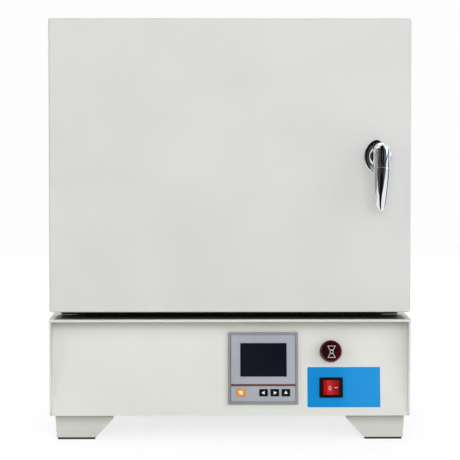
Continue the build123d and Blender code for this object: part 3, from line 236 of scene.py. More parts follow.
def copied(piece):
    """A copy of a piece with its own mesh."""
    copy = piece.copy()
    copy.data = piece.data.copy()
    bpy.context.scene.collection.objects.link(copy)
    return copy


def softened(node, name, width, steps=2):
    """A copy of a node's shape with its loose triangles merged and its edges rounded."""
    piece = copied(nodes[node])
    piece.name = piece.data.name = name
    piece.parent = None
    for key in [key for key in piece.keys() if key.startswith("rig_")]:
        del piece[key]
    alone(piece)
    bpy.ops.mesh.customdata_custom_splitnormals_clear()
    bpy.ops.object.mode_set(mode="EDIT")
    bpy.ops.mesh.select_all(action="SELECT")
    bpy.ops.mesh.remove_doubles(threshold=0.005 * mm)
    bpy.ops.mesh.dissolve_limited(angle_limit=math.radians(1))
    bpy.ops.object.mode_set(mode="OBJECT")
    eased(piece, width, steps)
    return piece


def settle(piece, body, finish, slot, *replaced):
    """Applies a piece's place to its mesh, gives it its finish and lets it ride on its body."""
    alone(piece)
    bpy.ops.object.transform_apply(location=True, rotation=True, scale=True)
    piece.data.name = piece.name
    piece.data.materials.clear()
    piece.data.materials.append(finish)
    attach(piece, body)
    if replaced:
        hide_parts(*replaced)


rubber = coated("rubber", tint(42, 42, 41), tint(54, 54, 53), scale=1500.0, relief=0.05, dull=0.72)
settle(softened("foot_pads", "rubber_pads", 0.6), "cabinet", rubber, "rubber", "foot_pads")

# Top plate and control panel
# The plate's front edge is rolled down over the panel, which leans back under it between the cheeks, with a
# smooth bead of filler along them. Both are folded sheet in the same coat. The panel's coat darkens towards its
# top as painted shade under the plate's edge; the plate is painted dark inside a bare rim, lighter towards the
# lip, as painted shade of the door that hangs over it.
plate_low, plate_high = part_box("base_top_plate")
# Painted shade: the panel's coat darkens towards the top, under the plate's edge.
panel_enamel = shade_painted_enamel("panel_enamel", plate_high.z - 30 * mm, plate_high.z - 7 * mm,
                      (0.0, tint(222, 223, 217)), (0.35, tint(219, 220, 215)), (0.65, tint(216, 216, 209)),
                      (0.85, tint(211, 210, 197)))
dress(panel_enamel, "control_panel")

# Painted shade: dark inside a bare rim under the door, lighter towards the lip.
top_finish, tree, shader, place = new_finish("top_plate_enamel")
skin, spot = effect(tree, grain, Place=place, Scale=enamel_scale), axes(tree, place)
shade_front, shade_back, shade_side = plate_low.y + 3 * mm, plate_low.y + 66 * mm, plate_high.x - 7.8 * mm
fade = 0.6 * mm
door_shade = ramp(tree, between(tree, spot["Y"], 0.0, 1.0, shade_front, shade_back),
            (0.0, tint(132, 124, 104)), (0.4, tint(80, 75, 61)), (1.0, tint(44, 41, 35)))
shade_field = between(tree, maths(tree, "ABSOLUTE", spot["X"]), 1.0, 0.0, shade_side, shade_side + fade)
for limit in (between(tree, spot["Y"], 0.0, 1.0, shade_front, shade_front + fade),
              between(tree, spot["Y"], 1.0, 0.0, shade_back, shade_back + fade),
              between(tree, spot["Z"], 0.0, 1.0, plate_high.z - 1.0 * mm, plate_high.z - 0.5 * mm)):
    shade_field = maths(tree, "MULTIPLY", shade_field, limit)
paint = mixed(tree, shade_field, clouded(tree, skin["Cloud"], coat_dark, coat_light), door_shade)
surface(tree, shader, paint, dulled(tree, skin["Cloud"]), skin["Height"], enamel_relief * mm)
dress(top_finish, "base_top_plate")

# Base screws
# Large screws hold the feet from inside the base, and the cabinet from under the base's top plate.
# They are zinc-plated steel, like the smaller screws and clamps, with fine strokes from rolling.


def stretched(tree, place, by):
    """A place stretched along its axes, so that a pattern on it is drawn out."""
    return put(tree, "VectorMath", {0: place, 1: by}, operation="MULTIPLY").outputs[0]


strokes, ends, out = new_effect("strokes", {"Place": "Vector", "Stretch": "Vector"}, {"Lines": "Float"})
drawn_out = stretched(strokes, ends["Place"], ends["Stretch"])
strokes.links.new(noise(strokes, drawn_out, 1.0, 4.0, 0.6), out["Lines"])


def bare_metal(name, dark, light, stretch, dull=0.32, relief=0.006):
    """A bare metal with drawn strokes, long where the stretch is small."""
    finish, tree, shader, place = new_finish(name, Metallic=1.0)
    marks = effect(tree, strokes, Place=place, Stretch=stretch)["Lines"]
    surface(tree, shader, ramp(tree, marks, (0.3, dark), (0.7, light)),
            between(tree, marks, dull - 0.08, dull + 0.1, 0.3, 0.7), marks, relief * mm)
    return finish


steel = bare_metal("zinc_steel", tint(168, 170, 172), tint(206, 206, 204), (900.0, 900.0, 900.0))
dress(steel, "base_screws")

# Label plate
# A thin aluminium plate under the buzzer, printed plain sky blue and glued on.
# The print is a shade deeper at its left half, round the switch.
label_finish, tree, shader, place = new_finish("label_print", Specular_IOR_Level=0.08)
skin = effect(tree, grain, Place=place, Scale=2200.0)
print_left, print_right = 104 * mm, 202 * mm
blues = ramp(tree, between(tree, axes(tree, place)["X"], 0.0, 1.0, print_left, print_right),
             (0.0, tint(4, 136, 209)), (0.42, tint(8, 138, 211)), (0.56, tint(28, 145, 216)),
             (1.0, tint(32, 147, 218)))
surface(tree, shader, blues, between(tree, skin["Cloud"], 0.42, 0.52), skin["Height"], 0.006 * mm)
dress(label_finish, "label_plate")

# Temperature controller
# A moulded case with a dark rounded frame, clipped in from the front, a paler face inside a thin dark ring of
# painted shade along the frame's inner edge, a smoked window, a printed line and four keys: orange with a round
# mark, and three black ones with arrows.
case_finish = coated("case_grey", tint(144, 147, 151), tint(151, 154, 158), scale=1800.0, relief=0.02,
                     Specular_IOR_Level=0.25)
face_finish = coated("face_grey", tint(159, 163, 172), tint(165, 169, 178), scale=1800.0, relief=0.012)
# Colour of the ring of painted shade round the controller's face.
frame_shade_finish = coated("frame_shade_grey", tint(106, 109, 113), tint(114, 117, 121), scale=1800.0, relief=0.004)
line_finish = coated("printed_brown", tint(92, 46, 16), tint(104, 54, 22), scale=1800.0, relief=0.004)
black_plastic = coated("black_plastic", tint(12, 12, 14), tint(19, 19, 21), scale=1600.0, relief=0.02,
                       dull=0.38, Specular_IOR_Level=0.15)
orange = coated("orange_plastic", tint(252, 142, 4), tint(255, 154, 10), scale=1600.0, relief=0.01, dull=0.4,
                Specular_IOR_Level=0.15)
white_print = coated("white_print", tint(236, 236, 234), tint(244, 244, 242), scale=1600.0, relief=0.004)
dress(case_finish, "controller_case")
dress(face_finish, "controller_face")
dress(steel, "controller_clamps")
dress(orange, "set_key")
dress(black_plastic, "left_key", "right_key", "up_key")

window_finish, tree, shader, place = new_finish("smoked_window", Specular_IOR_Level=0.16)
film = effect(tree, grain, Place=place, Scale=1200.0)
surface(tree, shader, ramp(tree, film["Cloud"], (0.3, tint(16, 18, 31)), (0.7, tint(21, 23, 36))),
        between(tree, film["Cloud"], 0.1, 0.2))
dress(window_finish, "controller_display")

lean = math.asin(-next(j for j in frame["joints"] if j["name"] == "set_key_press")["axis"][2])
panel_low, panel_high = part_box("control_panel")


def on_panel(across, up, out):
    """A point of the leaning panel: across from its middle, up from its foot, out from its face."""
    return Vector((0, panel_low.y, panel_low.z)) + mm * Vector((
        across, up * math.sin(lean) - out * math.cos(lean), up * math.cos(lean) + out * math.sin(lean)))


def begun(name, add, **settings):
    """Adds the circle or the plane that a piece is drawn from, with nothing else selected."""
    bpy.ops.object.select_all(action="DESELECT")
    add(**settings)
    piece = bpy.context.object
    piece.name = name
    return piece


def closed():
    """Turns all faces of the mesh in hand outwards, and leaves edit mode."""
    bpy.ops.mesh.select_all(action="SELECT")
    bpy.ops.mesh.normals_make_consistent(inside=False)
    bpy.ops.object.mode_set(mode="OBJECT")


def mark(name, corners, size, thick, turn=0.0, ring=0.0):
    """A flat mark lying in XY: a disc of few or many corners, drawn to its size, hollow if it is a ring."""
    piece = begun(name, bpy.ops.mesh.primitive_circle_add, vertices=corners, radius=0.5 * mm,
                  fill_type="NGON")
    bpy.ops.object.mode_set(mode="EDIT")
    bpy.ops.mesh.select_all(action="SELECT")
    bpy.ops.transform.rotate(value=-math.radians(turn), orient_axis="Z", center_override=(0, 0, 0))
    bpy.ops.transform.resize(value=(*size, 1), center_override=(0, 0, 0))
    if ring:
        bpy.ops.mesh.inset(thickness=ring * mm)
        bpy.ops.mesh.delete(type="FACE")
        bpy.ops.mesh.select_all(action="SELECT")
    bpy.ops.mesh.extrude_region_move(TRANSFORM_OT_translate={"value": (0, 0, thick * mm)})
    closed()
    eased(piece, min(thick, 0.2) * 0.3, 1)
    return piece


def bar(name, wide, tall, thick, ring=0.0):
    """A mark with four square corners."""
    return mark(name, 4, (wide * math.sqrt(2), tall * math.sqrt(2)), thick, 45, ring)


def cut(piece, tool):
    """Takes a tool's shape out of a piece."""
    change(piece, "BOOLEAN", object=tool, operation="DIFFERENCE", solver="EXACT")
    bpy.data.objects.remove(tool)


cheek = panel_high.x + 0.2 * mm
bead_round, bead_depth = 3.2, 1.4
bead_length = (panel_high.z - panel_low.z) / math.cos(lean) / mm - 3.0
for side, way in (("left", -1), ("right", 1)):
    bead = bar("panel_bead_" + side, bead_round, bead_round + bead_depth, bead_length)
    hollow = mark("bead_hollow", 64, (2 * bead_round, 2 * bead_round), bead_length + 2)
    hollow.location = (-way * bead_round / 2 * mm, -(bead_round + bead_depth) / 2 * mm, -mm)
    cut(bead, hollow)
    eased(bead, 0)
    bead.rotation_euler = (-lean, 0, 0)
    bead.location = on_panel(0, 2.0, (bead_round - bead_depth) / 2)
    bead.location.x = way * (cheek - bead_round / 2 * mm)
    settle(bead, "cabinet", panel_enamel, "enamel")


def to_panel(piece, across, up, out):
    """Lays a piece made on the ground onto the panel."""
    piece.rotation_euler = (math.pi / 2 - lean, 0, 0)
    piece.location = on_panel(across, up, out)
    return piece


key_row, key_top, face_top, print_thick = 30.5, 7.5, 6.5, 0.12
for key, at, turn in (("left_key", 45.0, 180), ("right_key", 60.0, 0), ("up_key", 74.8, 90)):
    arrow = mark(key + "_arrow", 3, (5.7, 5.7), print_thick, turn - 90)
    settle(to_panel(arrow, at, key_row, key_top), key, white_print, "face_grey")
for name, size, at, up in (("set_key_mark", (5.0, 4.4), 14.5, 0.6), ("set_key_tail", (2.4, 2.4), 15.6, -1.7)):
    dot = mark(name, 20, size, print_thick)
    settle(to_panel(dot, at, key_row + up, key_top), "set_key", white_print, "face_grey")

face_low, face_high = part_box("controller_face")
face_wide, face_tall = (face_high.x - face_low.x) / mm, (face_high.z - face_low.z) / math.cos(lean) / mm
face_out, face_rise = 5.8, ((face_low.z + face_high.z) / 2 - panel_low.z) / mm
# A thin dark ring round the face: painted shade along the frame's inner edge.
frame_shade = bar("face_frame_shade", face_wide, face_tall, print_thick, ring=0.6)
to_panel(frame_shade, (face_low.x + face_high.x) / 2 / mm,
         (face_rise - face_out * math.sin(lean)) / math.cos(lean), face_top)
settle(frame_shade, "cabinet", frame_shade_finish, "face_grey")
line_middle, line_height = 44.5, 40.6
line = bar("face_line", 86.4, 2.9, print_thick)
settle(to_panel(line, line_middle, line_height, face_top), "cabinet", line_finish, "key_orange")

# Buzzer lamp
# A black turned bezel, and a deep red cap with fine ribs round its rim over the sounder.
# A silver pictogram like an hourglass is printed in its middle; a plastic nut holds it from behind.
dress(black_plastic, "buzzer_nut")


def turned(name, rings, steps=48, width=0.0):
    """A solid turned about Z: a disc is drawn out from ring to ring, each a radius and a height."""
    radius, height = rings[0]
    piece = begun(name, bpy.ops.mesh.primitive_circle_add, vertices=steps, radius=radius * mm,
                  fill_type="NGON", location=(0, 0, height * mm))
    bpy.ops.object.transform_apply(location=True)
    bpy.ops.object.mode_set(mode="EDIT")
    bpy.ops.mesh.select_all(action="SELECT")
    for next_radius, next_height in rings[1:]:
        rise, share = (next_height - height) * mm, next_radius / radius
        bpy.ops.mesh.extrude_region_move(TRANSFORM_OT_translate={"value": (0, 0, rise)})
        bpy.ops.transform.resize(value=(share, share, 1), center_override=(0, 0, next_height * mm))
        radius, height = next_radius, next_height
    closed()
    eased(piece, width, 2, 35)
    return piece


buzzer, lens_top = (135.6, 85.9), 13.6
bezel = turned("buzzer_bezel", [(11, -28), (11, 0), (14.8, 0), (14.8, 1.8), (14.2, 2.5), (11.5, 2.5),
                                (11.5, 9.5)], 64, 0.2)
settle(to_panel(bezel, *buzzer, 0), "cabinet", black_plastic, "black_plastic", "buzzer_body")


def distance(tree, place, centre=(0, 0, 0)):
    """How far a place is from a centre."""
    return put(tree, "VectorMath", {0: place, 1: centre}, operation="DISTANCE").outputs["Value"]


lens_finish, tree, shader, place = new_finish("red_lens", Coat_Weight=0.15, Coat_Roughness=0.06,
                                              Specular_IOR_Level=0.15)
film = effect(tree, grain, Place=place, Scale=1500.0)
# Painted glow and highlight: the cap is darkest a little up and left of its middle and brightens towards its
# rim, most at the lower right.
painted_glow_origin = on_panel(buzzer[0] - 2, buzzer[1] + 3, 0)
centred = put(tree, "Mapping", {"Vector": place, "Location": -painted_glow_origin}).outputs["Vector"]
reach = distance(tree, stretched(tree, centred, (1, 0, 1)))
painted_light_reds = ramp(tree, between(tree, reach, 0.0, 1.0, 0.0, 18 * mm), (0.0, tint(32, 3, 8)), (0.5, tint(46, 5, 11)),
            (0.75, tint(78, 8, 17)), (0.95, tint(136, 13, 26)))
surface(tree, shader, painted_light_reds, between(tree, film["Cloud"], 0.14, 0.24), film["Height"], 0.004 * mm)
cap = turned("buzzer_cap", [(13.9, 2.6), (14, 3), (14, 12.6), (13.6, 13.5), (12.8, 13.9), (12.5, 13.5),
                            (12.1, 13.9), (11.8, 13.5), (11.4, 13.9), (11.1, 13.5), (10.7, 13.9),
                            (10.4, 13.5), (9.4, 13.6)], 64)
settle(to_panel(cap, *buzzer, 0), "cabinet", lens_finish, "lens_red", "buzzer_lens")

silver_print = coated("silver_print", tint(196, 196, 198), tint(214, 214, 214), scale=1600.0, relief=0.004,
                      Metallic=0.35)


def pick(piece, kind, wanted):
    """Selects the corners or the faces of the mesh in hand that are wanted, and no others."""
    bpy.ops.mesh.select_mode(type=kind)
    bpy.ops.mesh.select_all(action="DESELECT")
    sheet = bmesh.from_edit_mesh(piece.data)
    for part in sheet.verts if kind == "VERT" else sheet.faces:
        part.select_set(wanted(part))
    bmesh.update_edit_mesh(piece.data)


def funnel(name, wide, narrow, tall, low):
    """One half of the hourglass: a four-cornered outline, narrow at its foot."""
    piece = begun(name, bpy.ops.mesh.primitive_plane_add, size=mm)
    bpy.ops.object.mode_set(mode="EDIT")
    bpy.ops.transform.resize(value=(wide, tall, 1), center_override=(0, 0, 0))
    pick(piece, "VERT", lambda corner: corner.co.y < 0)
    bpy.ops.transform.resize(value=(narrow / wide, 1, 1), center_override=(0, -tall / 2 * mm, 0))
    bpy.ops.mesh.select_all(action="SELECT")
    bpy.ops.mesh.inset(thickness=0.8 * mm)
    bpy.ops.mesh.delete(type="FACE")
    bpy.ops.mesh.select_all(action="SELECT")
    bpy.ops.transform.translate(value=(0, low * mm + tall / 2 * mm, 0))
    bpy.ops.mesh.extrude_region_move(TRANSFORM_OT_translate={"value": (0, 0, 0.15 * mm)})
    closed()
    return piece


printed = (buzzer[0] + 0.3, buzzer[1] - 1.1, lens_top)
for name, turn in (("upper", 0), ("lower", math.pi)):
    half = funnel("buzzer_mark_" + name, 11.0, 5.4, 5.8, 2.2)
    alone(half)
    half.rotation_euler = (0, 0, turn)
    bpy.ops.object.transform_apply(rotation=True)
    settle(to_panel(half, *printed), "cabinet", silver_print, "lens_red")
knot = mark("buzzer_mark_middle", 20, (5.2, 5.2), 0.15, ring=0.9)
settle(to_panel(knot, *printed), "cabinet", silver_print, "lens_red")

# Power switch
# A black moulded bezel snapped through the label and the panel, with a glossy red rocker.
# The rocker rests with its left end out, and bears a 0 and a bar in white.
settle(softened("switch_housing", "switch_bezel", 0.5), "cabinet", black_plastic, "black_plastic",
       "switch_housing")
rocker_finish, tree, shader, place = new_finish("red_rocker", Coat_Weight=0.08, Coat_Roughness=0.08,
                                                Specular_IOR_Level=0.12)
film = effect(tree, grain, Place=place, Scale=1500.0)
# Painted light: the left end is painted bright red as its lit end, a dark line of painted shade marks its edge,
# and the face darkens to the right as painted shade.
rocker_left, rocker_right = 124 * mm, 147 * mm
painted_light_reds = ramp(tree, between(tree, axes(tree, place)["X"], 0.0, 1.0, rocker_left, rocker_right),
            (0.0, tint(206, 1, 2)), (0.18, tint(206, 1, 2)), (0.2, tint(140, 2, 4)),
            (0.24, tint(190, 14, 14)), (0.55, tint(176, 6, 6)), (0.8, tint(136, 2, 3)))
surface(tree, shader, painted_light_reds, between(tree, film["Cloud"], 0.16, 0.26), film["Height"], 0.006 * mm)
settle(softened("switch_rocker", "red_rocker", 0.7, 3), "rocker", rocker_finish, "rocker_red",
       "switch_rocker")

switch, pivot, tilt = (135.7, 37.3), -0.6, math.radians(20)
rocker_height, rocker_dip, rocker_half = 6.42, 0.4, 9.1


def to_rocker(piece, along, up):
    """Lays a mark onto the rocker's hollow face, which leans with its left end out."""
    height = rocker_height + rocker_dip * abs(along) / rocker_half
    alone(piece)
    piece.rotation_euler = (0, tilt, 0)
    bpy.ops.object.transform_apply(rotation=True)
    return to_panel(piece, switch[0] + along * math.cos(tilt) + height * math.sin(tilt), switch[1] + up,
                    pivot + height * math.cos(tilt) - along * math.sin(tilt))


zero = mark("rocker_zero", 24, (3.9, 5.6), 0.3, ring=0.5)
settle(to_rocker(zero, -4.6, -0.8), "rocker", white_print, "face_grey")
settle(to_rocker(bar("rocker_bar", 4.4, 0.75, 0.3), 4.4, -0.1), "rocker", white_print, "face_grey")

# Parts inside the base
# A solid-state relay on a finned aluminium sink switches the heaters, and a terminal block joins the wires.
# They are screwed to the bottom sheet and don't show from outside.
ivory = coated("ivory_plastic", tint(206, 204, 198), tint(216, 214, 206), scale=1500.0, relief=0.015)
aluminium = bare_metal("aluminium", tint(200, 201, 203), tint(224, 224, 226), (60.0, 1400.0, 1400.0), 0.36)
dress(aluminium, "heat_sink")
settle(softened("relay", "relay_block", 0.8), "cabinet", ivory, "relay_white", "relay")
settle(softened("terminal_block", "terminal_strip", 0.6), "cabinet", ivory, "relay_white", "terminal_block")

# Base back and cable gland
# A flat coated panel with vent slots closes the base; the mains lead enters through a black nylon gland.
# The gland has a hexagon to hold it by, a ribbed dome nut and a rubber seal in its mouth.
dress(enamel, "base_back")
dress(black_plastic, "gland_nut")
gland_low, gland_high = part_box("gland_nut")
gland = Vector((150 * mm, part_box("base_back")[1].y, (gland_low.z + gland_high.z) / 2))


def to_back(piece, place):
    """Turns a piece made on the ground to face backwards, and sets it in place."""
    piece.rotation_euler = (-math.pi / 2, 0, 0)
    piece.location = place
    return piece


def bored(name, rings, bore, steps, width=0.3):
    """A turned piece with a bore of a given radius through it, from its first face to its last."""
    piece = turned(name, rings, steps)
    alone(piece)
    bpy.ops.object.mode_set(mode="EDIT")
    pick(piece, "FACE", lambda face: abs(face.normal.z) > 0.9 and len(face.verts) == steps)
    bpy.ops.mesh.inset(thickness=mm)
    inner = [corner.co for corner in bmesh.from_edit_mesh(piece.data).verts if corner.select]
    share = bore * mm / max(math.hypot(point.x, point.y) for point in inner)
    bpy.ops.transform.resize(value=(share, share, 1), center_override=(0, 0, 0))
    bpy.ops.mesh.bridge_edge_loops()
    bpy.ops.object.mode_set(mode="OBJECT")
    eased(piece, width, 2, 40)
    return piece


def joined(pieces, name):
    """Makes one piece of several like ones."""
    alone(pieces[0])
    for piece in pieces:
        piece.select_set(True)
    bpy.ops.object.join()
    pieces[0].name = name
    return pieces[0]


hexagon = bored("gland_hexagon", [(14, 0), (14, 9.4), (13.2, 10)], 6, 6)
settle(to_back(hexagon, gland), "cabinet", black_plastic, "black_plastic", "cable_gland")
dome = turned("gland_dome", [(9.9, -14), (9.9, -0.01), (11.4, 0), (12, 10), (12, 19), (11.4, 21.6),
                             (9.6, 23.6), (8.4, 24), (7.4, 24), (7.2, 22.5), (6.3, 22.3), (6.3, 16)], 36, 0.2)
settle(to_back(dome, gland), "cabinet", black_plastic, "black_plastic")
rib = mark("gland_rib", 4, (1.2, 1.6), 8.0, 45)
rib_reach, rib_low, rib_count = 11.7 * mm, 11.2 * mm, 18
ribs = []
for step in range(rib_count):
    turn = 2 * math.pi * step / rib_count
    ribs.append(copied(rib))
    ribs[-1].location = (rib_reach * math.cos(turn), rib_reach * math.sin(turn), rib_low)
    ribs[-1].rotation_euler = (0, 0, turn)
bpy.data.objects.remove(rib)
ring = joined(ribs, "gland_ribs")
alone(ring)
bpy.ops.object.transform_apply(location=True, rotation=True)
settle(to_back(ring, gland), "cabinet", black_plastic, "black_plastic")

# Cabinet wrap and back
# One sheet bent over the sides and the top, and a flat back panel, both in the base's coat but painted a
# shade darker, as painted shade.
# A folded cover with louvre slots on the back hides the heater leads; the flue comes out through it.
# Painted shade: the base's coat a shade darker, for the cabinet and the door.
shaded_body_enamel = coated("shaded_body_enamel", tint(207, 208, 205), tint(211, 212, 209))
dress(shaded_body_enamel, "cabinet_wrap", "cabinet_back", "rear_cover")

# Front frame
# A thick sheet round the mouth that keeps the insulation in, with a slot that the latch's tongue enters.
# It is sprayed with matt heat-proof black, which also stands in for the shade seen through the gap under
# the door.
# Black paint that also stands in for the painted shade under the door.
stove_black = coated("stove_black", tint(20, 20, 20), tint(30, 30, 29), scale=1200.0, relief=0.03, dull=0.7,
                     Specular_IOR_Level=0.25)
dress(stove_black, "front_frame")

# Insulation
# Boards of pressed ceramic fibre, off-white and slightly felted, cut to fit round the muffle.
# They are packed between the muffle and the cabinet, and hardly show from outside.
fibres, ends, out = new_effect("fibres", {"Place": "Vector", "Scale": "Float"},
                               {"Height": "Float", "Stain": "Float"})
warp = noise(fibres, stretched(fibres, ends["Place"], (1.0, 1.0, 5.0)), ends["Scale"], 5.0, 0.65)
weft = noise(fibres, stretched(fibres, ends["Place"], (4.0, 1.0, 1.0)), ends["Scale"], 5.0, 0.65)
fibres.links.new(maths(fibres, "ADD", warp, weft), out["Height"])
fibres.links.new(noise(fibres, ends["Place"], 9.0, 4.0, 0.55), out["Stain"])

board, tree, shader, place = new_finish("fibre_board", Specular_IOR_Level=0.2)
felt = effect(tree, fibres, Place=place, Scale=260.0)
surface(tree, shader, clouded(tree, felt["Stain"], tint(222, 217, 206), tint(236, 232, 224)),
        between(tree, felt["Height"], 0.85, 0.97, 0.6, 1.4), felt["Height"], 0.5 * mm)
dress(board, "insulation_front", "insulation_bottom", "insulation_top", "insulation_left", "insulation_right",
      "insulation_rear")

# Muffle, hearth and bushes
# A pressed ceramic box with grooves for the heaters, a loose ceramic plate on its floor, and bushes
# for the leads; all biscuit fired, with a sandy skin, dark specks and a warm stain from use.
ceramic, tree, shader, place = new_finish("muffle_ceramic", Specular_IOR_Level=0.25)
felt = effect(tree, fibres, Place=place, Scale=700.0)
cells = put(tree, "TexVoronoi", {"Vector": place, "Scale": 160.0}).outputs["Distance"]
speck = between(tree, cells, 1.0, 0.0, 0.1, 0.2)
body = clouded(tree, felt["Stain"], tint(214, 204, 184), tint(232, 226, 212))
surface(tree, shader, mixed(tree, speck, body, tint(150, 128, 98)),
        between(tree, felt["Height"], 0.72, 0.9, 0.6, 1.4), felt["Height"], 0.12 * mm)
settle(softened("muffle", "muffle_box", 1.2), "cabinet", ceramic, "ceramic", "muffle")
settle(softened("hearth_plate", "hearth_tile", 1.0), "cabinet", ceramic, "ceramic", "hearth_plate")
dress(ceramic, "lead_bushes")

# Heating elements
# Thick resistance wire bent to and fro in the grooves of both side walls.
# Firing has left it dark and scaled.
oxide_finish, tree, shader, place = new_finish("scaled_wire", Metallic=0.7)
scaled = effect(tree, grain, Place=place, Scale=1500.0)
surface(tree, shader, ramp(tree, scaled["Cloud"], (0.3, tint(78, 70, 66)), (0.7, tint(118, 106, 98))),
        between(tree, scaled["Cloud"], 0.55, 0.75), scaled["Height"], 0.08 * mm)
dress(oxide_finish, "element_left", "element_right")

# Thermocouple and flue
# A sheathed thermocouple with its head under the rear cover, and a stainless tube that lets the fumes out,
# straw and blue where it runs hot.
flue_finish, tree, shader, place = new_finish("flue_steel", Metallic=1.0)
marks = effect(tree, strokes, Place=place, Stretch=(900.0, 40.0, 900.0))["Lines"]
flue_front, flue_end = 135 * mm, 307 * mm
heat = ramp(tree, between(tree, axes(tree, place)["Y"], 0.0, 1.0, flue_front, flue_end),
            (0.0, tint(96, 88, 110)), (0.45, tint(168, 146, 112)), (0.8, tint(192, 186, 176)),
            (1.0, tint(200, 200, 198)))
surface(tree, shader, heat, between(tree, marks, 0.22, 0.4), marks, 0.006 * mm)
dress(flue_finish, "exhaust_tube", "thermocouple")

# Screws of the back panels
# Pan-head steel screws with a slot, zinc plated, along the edges of the panels and the cover.
# Each is driven in from behind, so that only its head shows.


def slotted(screw, long, floor):
    """Cuts the driver's slot into a screw's head, down to a given height."""
    slot = bar("slot", long, 0.9, 2.4)
    slot.location = (0, 0, floor * mm)
    cut(screw, slot)
    eased(screw, 0)
    return screw


def solids(node, reach):
    """The lowest and highest corners of a node's separate small solids."""
    groups = []
    for point in (v.co for v in nodes[node].data.vertices):
        near = next((g for g in groups if (g[0] - point).length < reach * mm), None)
        if near is None:
            groups.append([point])
        else:
            near.append(point)
    return [(Vector(map(min, *g)), Vector(map(max, *g))) for g in groups]


head_high = 2.2
pan = slotted(turned("back_screw", [(2, -8), (2, 0), (3.8, 0), (3.8, 0.9), (3.4, 1.6), (2.6, 2.05),
                                    (1.4, head_high)], 24), 4.4, 1.1)
heads = []
for low, high in solids("back_screws", 16):
    middle = ((low.x + high.x) / 2, high.y - head_high * mm, (low.z + high.z) / 2)
    heads.append(to_back(copied(pan), middle))
bpy.data.objects.remove(pan)
settle(joined(heads, "panel_screws"), "cabinet", steel, "steel", "back_screws")

# Door
# A deep folded pan with soft bends and welded corners, coated like the cabinet, and filled with fibre.
# A black sheet closes it behind, with a tapered fibre plug and a rope seal round the throat.
# The door has the cabinet's darker copy of the base's coat, as painted shade.
dress(shaded_body_enamel, "door_skin")
dress(board, "door_insulation")
dress(stove_black, "door_back")
settle(softened("door_plug", "fibre_plug", 2.0, 3), "door", board, "fibre", "door_plug")

rope_finish, tree, shader, place = new_finish("rope", Specular_IOR_Level=0.2)
spot, braid_scale = axes(tree, place), 1500.0
plies = []
for way in ("ADD", "SUBTRACT"):
    turn = maths(tree, "MULTIPLY", maths(tree, way, spot["X"], spot["Z"]), braid_scale)
    plies.append(maths(tree, "ABSOLUTE", maths(tree, "SINE", turn)))
braid = maths(tree, "MULTIPLY", *plies)
surface(tree, shader, ramp(tree, braid, (0.0, tint(168, 160, 146)), (0.5, tint(222, 216, 204))),
        between(tree, braid, 0.95, 0.85), braid, 0.5 * mm)
settle(softened("door_seal", "rope_seal", 1.1, 3), "door", rope_finish, "fibre", "door_seal")

# Hinges
# Two galvanised steel butt hinges on the left, one leaf screwed to the door's back and one to the cabinet's
# side, with a headed pin in each. The screws are countersunk.
galvanised, tree, shader, place = new_finish("galvanised", Metallic=1.0)
flakes = put(tree, "TexVoronoi", {"Vector": place, "Scale": 140.0, "Randomness": 1.0}).outputs
flake = put(tree, "SeparateColor", {"Color": flakes["Color"]}).outputs[0]
surface(tree, shader, ramp(tree, flake, (0.0, tint(176, 179, 182)), (1.0, tint(204, 206, 208))),
        between(tree, flake, 0.28, 0.46), flakes["Distance"], 0.01 * mm)
settle(softened("cabinet_hinge_leaves", "side_leaves", 0.3), "cabinet", galvanised, "galvanised",
       "cabinet_hinge_leaves")
settle(softened("door_hinge_leaves", "door_leaves", 0.3), "door", galvanised, "galvanised",
       "door_hinge_leaves")
dress(steel, "hinge_pins")
sunk = slotted(turned("hinge_screw", [(2, -1), (2, 0), (3.5, 0), (3.6, 0.1), (3.3, 0.25), (2.0, 0.32)], 24),
               3.8, -0.6)
pin_low, pin_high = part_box("hinge_pins")
hinge_line, leaf_middle, screw_step = (pin_low + pin_high) / 2, 19 * mm, 24 * mm
leaf_out, door_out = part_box("cabinet_wrap")[0].x - 2 * mm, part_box("door_back")[1].y + 2 * mm
lower_hinge, upper_hinge = pin_low.z + 35 * mm, pin_high.z - 37 * mm
side_row = Vector((leaf_out, hinge_line.y + leaf_middle, 0))
door_row = Vector((hinge_line.x + leaf_middle, door_out, 0))
for body, place, turn in (("cabinet", side_row, (0, -math.pi / 2, 0)),
                          ("door", door_row, (-math.pi / 2, 0, 0))):
    group = []
    for hinge in (lower_hinge, upper_hinge):
        for step in (-screw_step, 0, screw_step):
            group.append(copied(sunk))
            group[-1].rotation_euler = turn
            group[-1].location = place + Vector((0, 0, hinge + step))
    settle(joined(group, body + "_leaf_screws"), body, steel, "steel")
bpy.data.objects.remove(sunk)

# Latch
# A black plastic bush through the door carries the spindle, and a steel tongue on its end
# catches behind the front frame.
dress(steel, "spindle")
dress(black_plastic, "spindle_bush")
settle(softened("latch_tongue", "latch_bar", 0.4), "door_handle", steel, "steel", "latch_tongue")

# Handle
# A chrome-plated die-cast lever: a domed head, and a blade with a rounded front that tapers to a blunt tip.
# It turns on an oval rosette with a raised round collar, plated too.
chrome, tree, shader, place = new_finish("chrome", Metallic=1.0)
film = effect(tree, grain, Place=place, Scale=700.0)
surface(tree, shader, ramp(tree, film["Cloud"], (0.3, tint(226, 227, 229)), (0.7, tint(232, 233, 235))),
        between(tree, film["Cloud"], 0.03, 0.09, 0.3, 0.7))
latch_low, latch_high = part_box("spindle")
latch = Vector(((latch_low.x + latch_high.x) / 2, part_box("door_skin")[0].y, (latch_low.z + latch_high.z) / 2))


def to_door(piece):
    """Turns a piece made on the ground to face forwards, on the spindle's axis at the door's face."""
    piece.rotation_euler = (math.pi / 2, 0, 0)
    piece.location = latch
    return piece


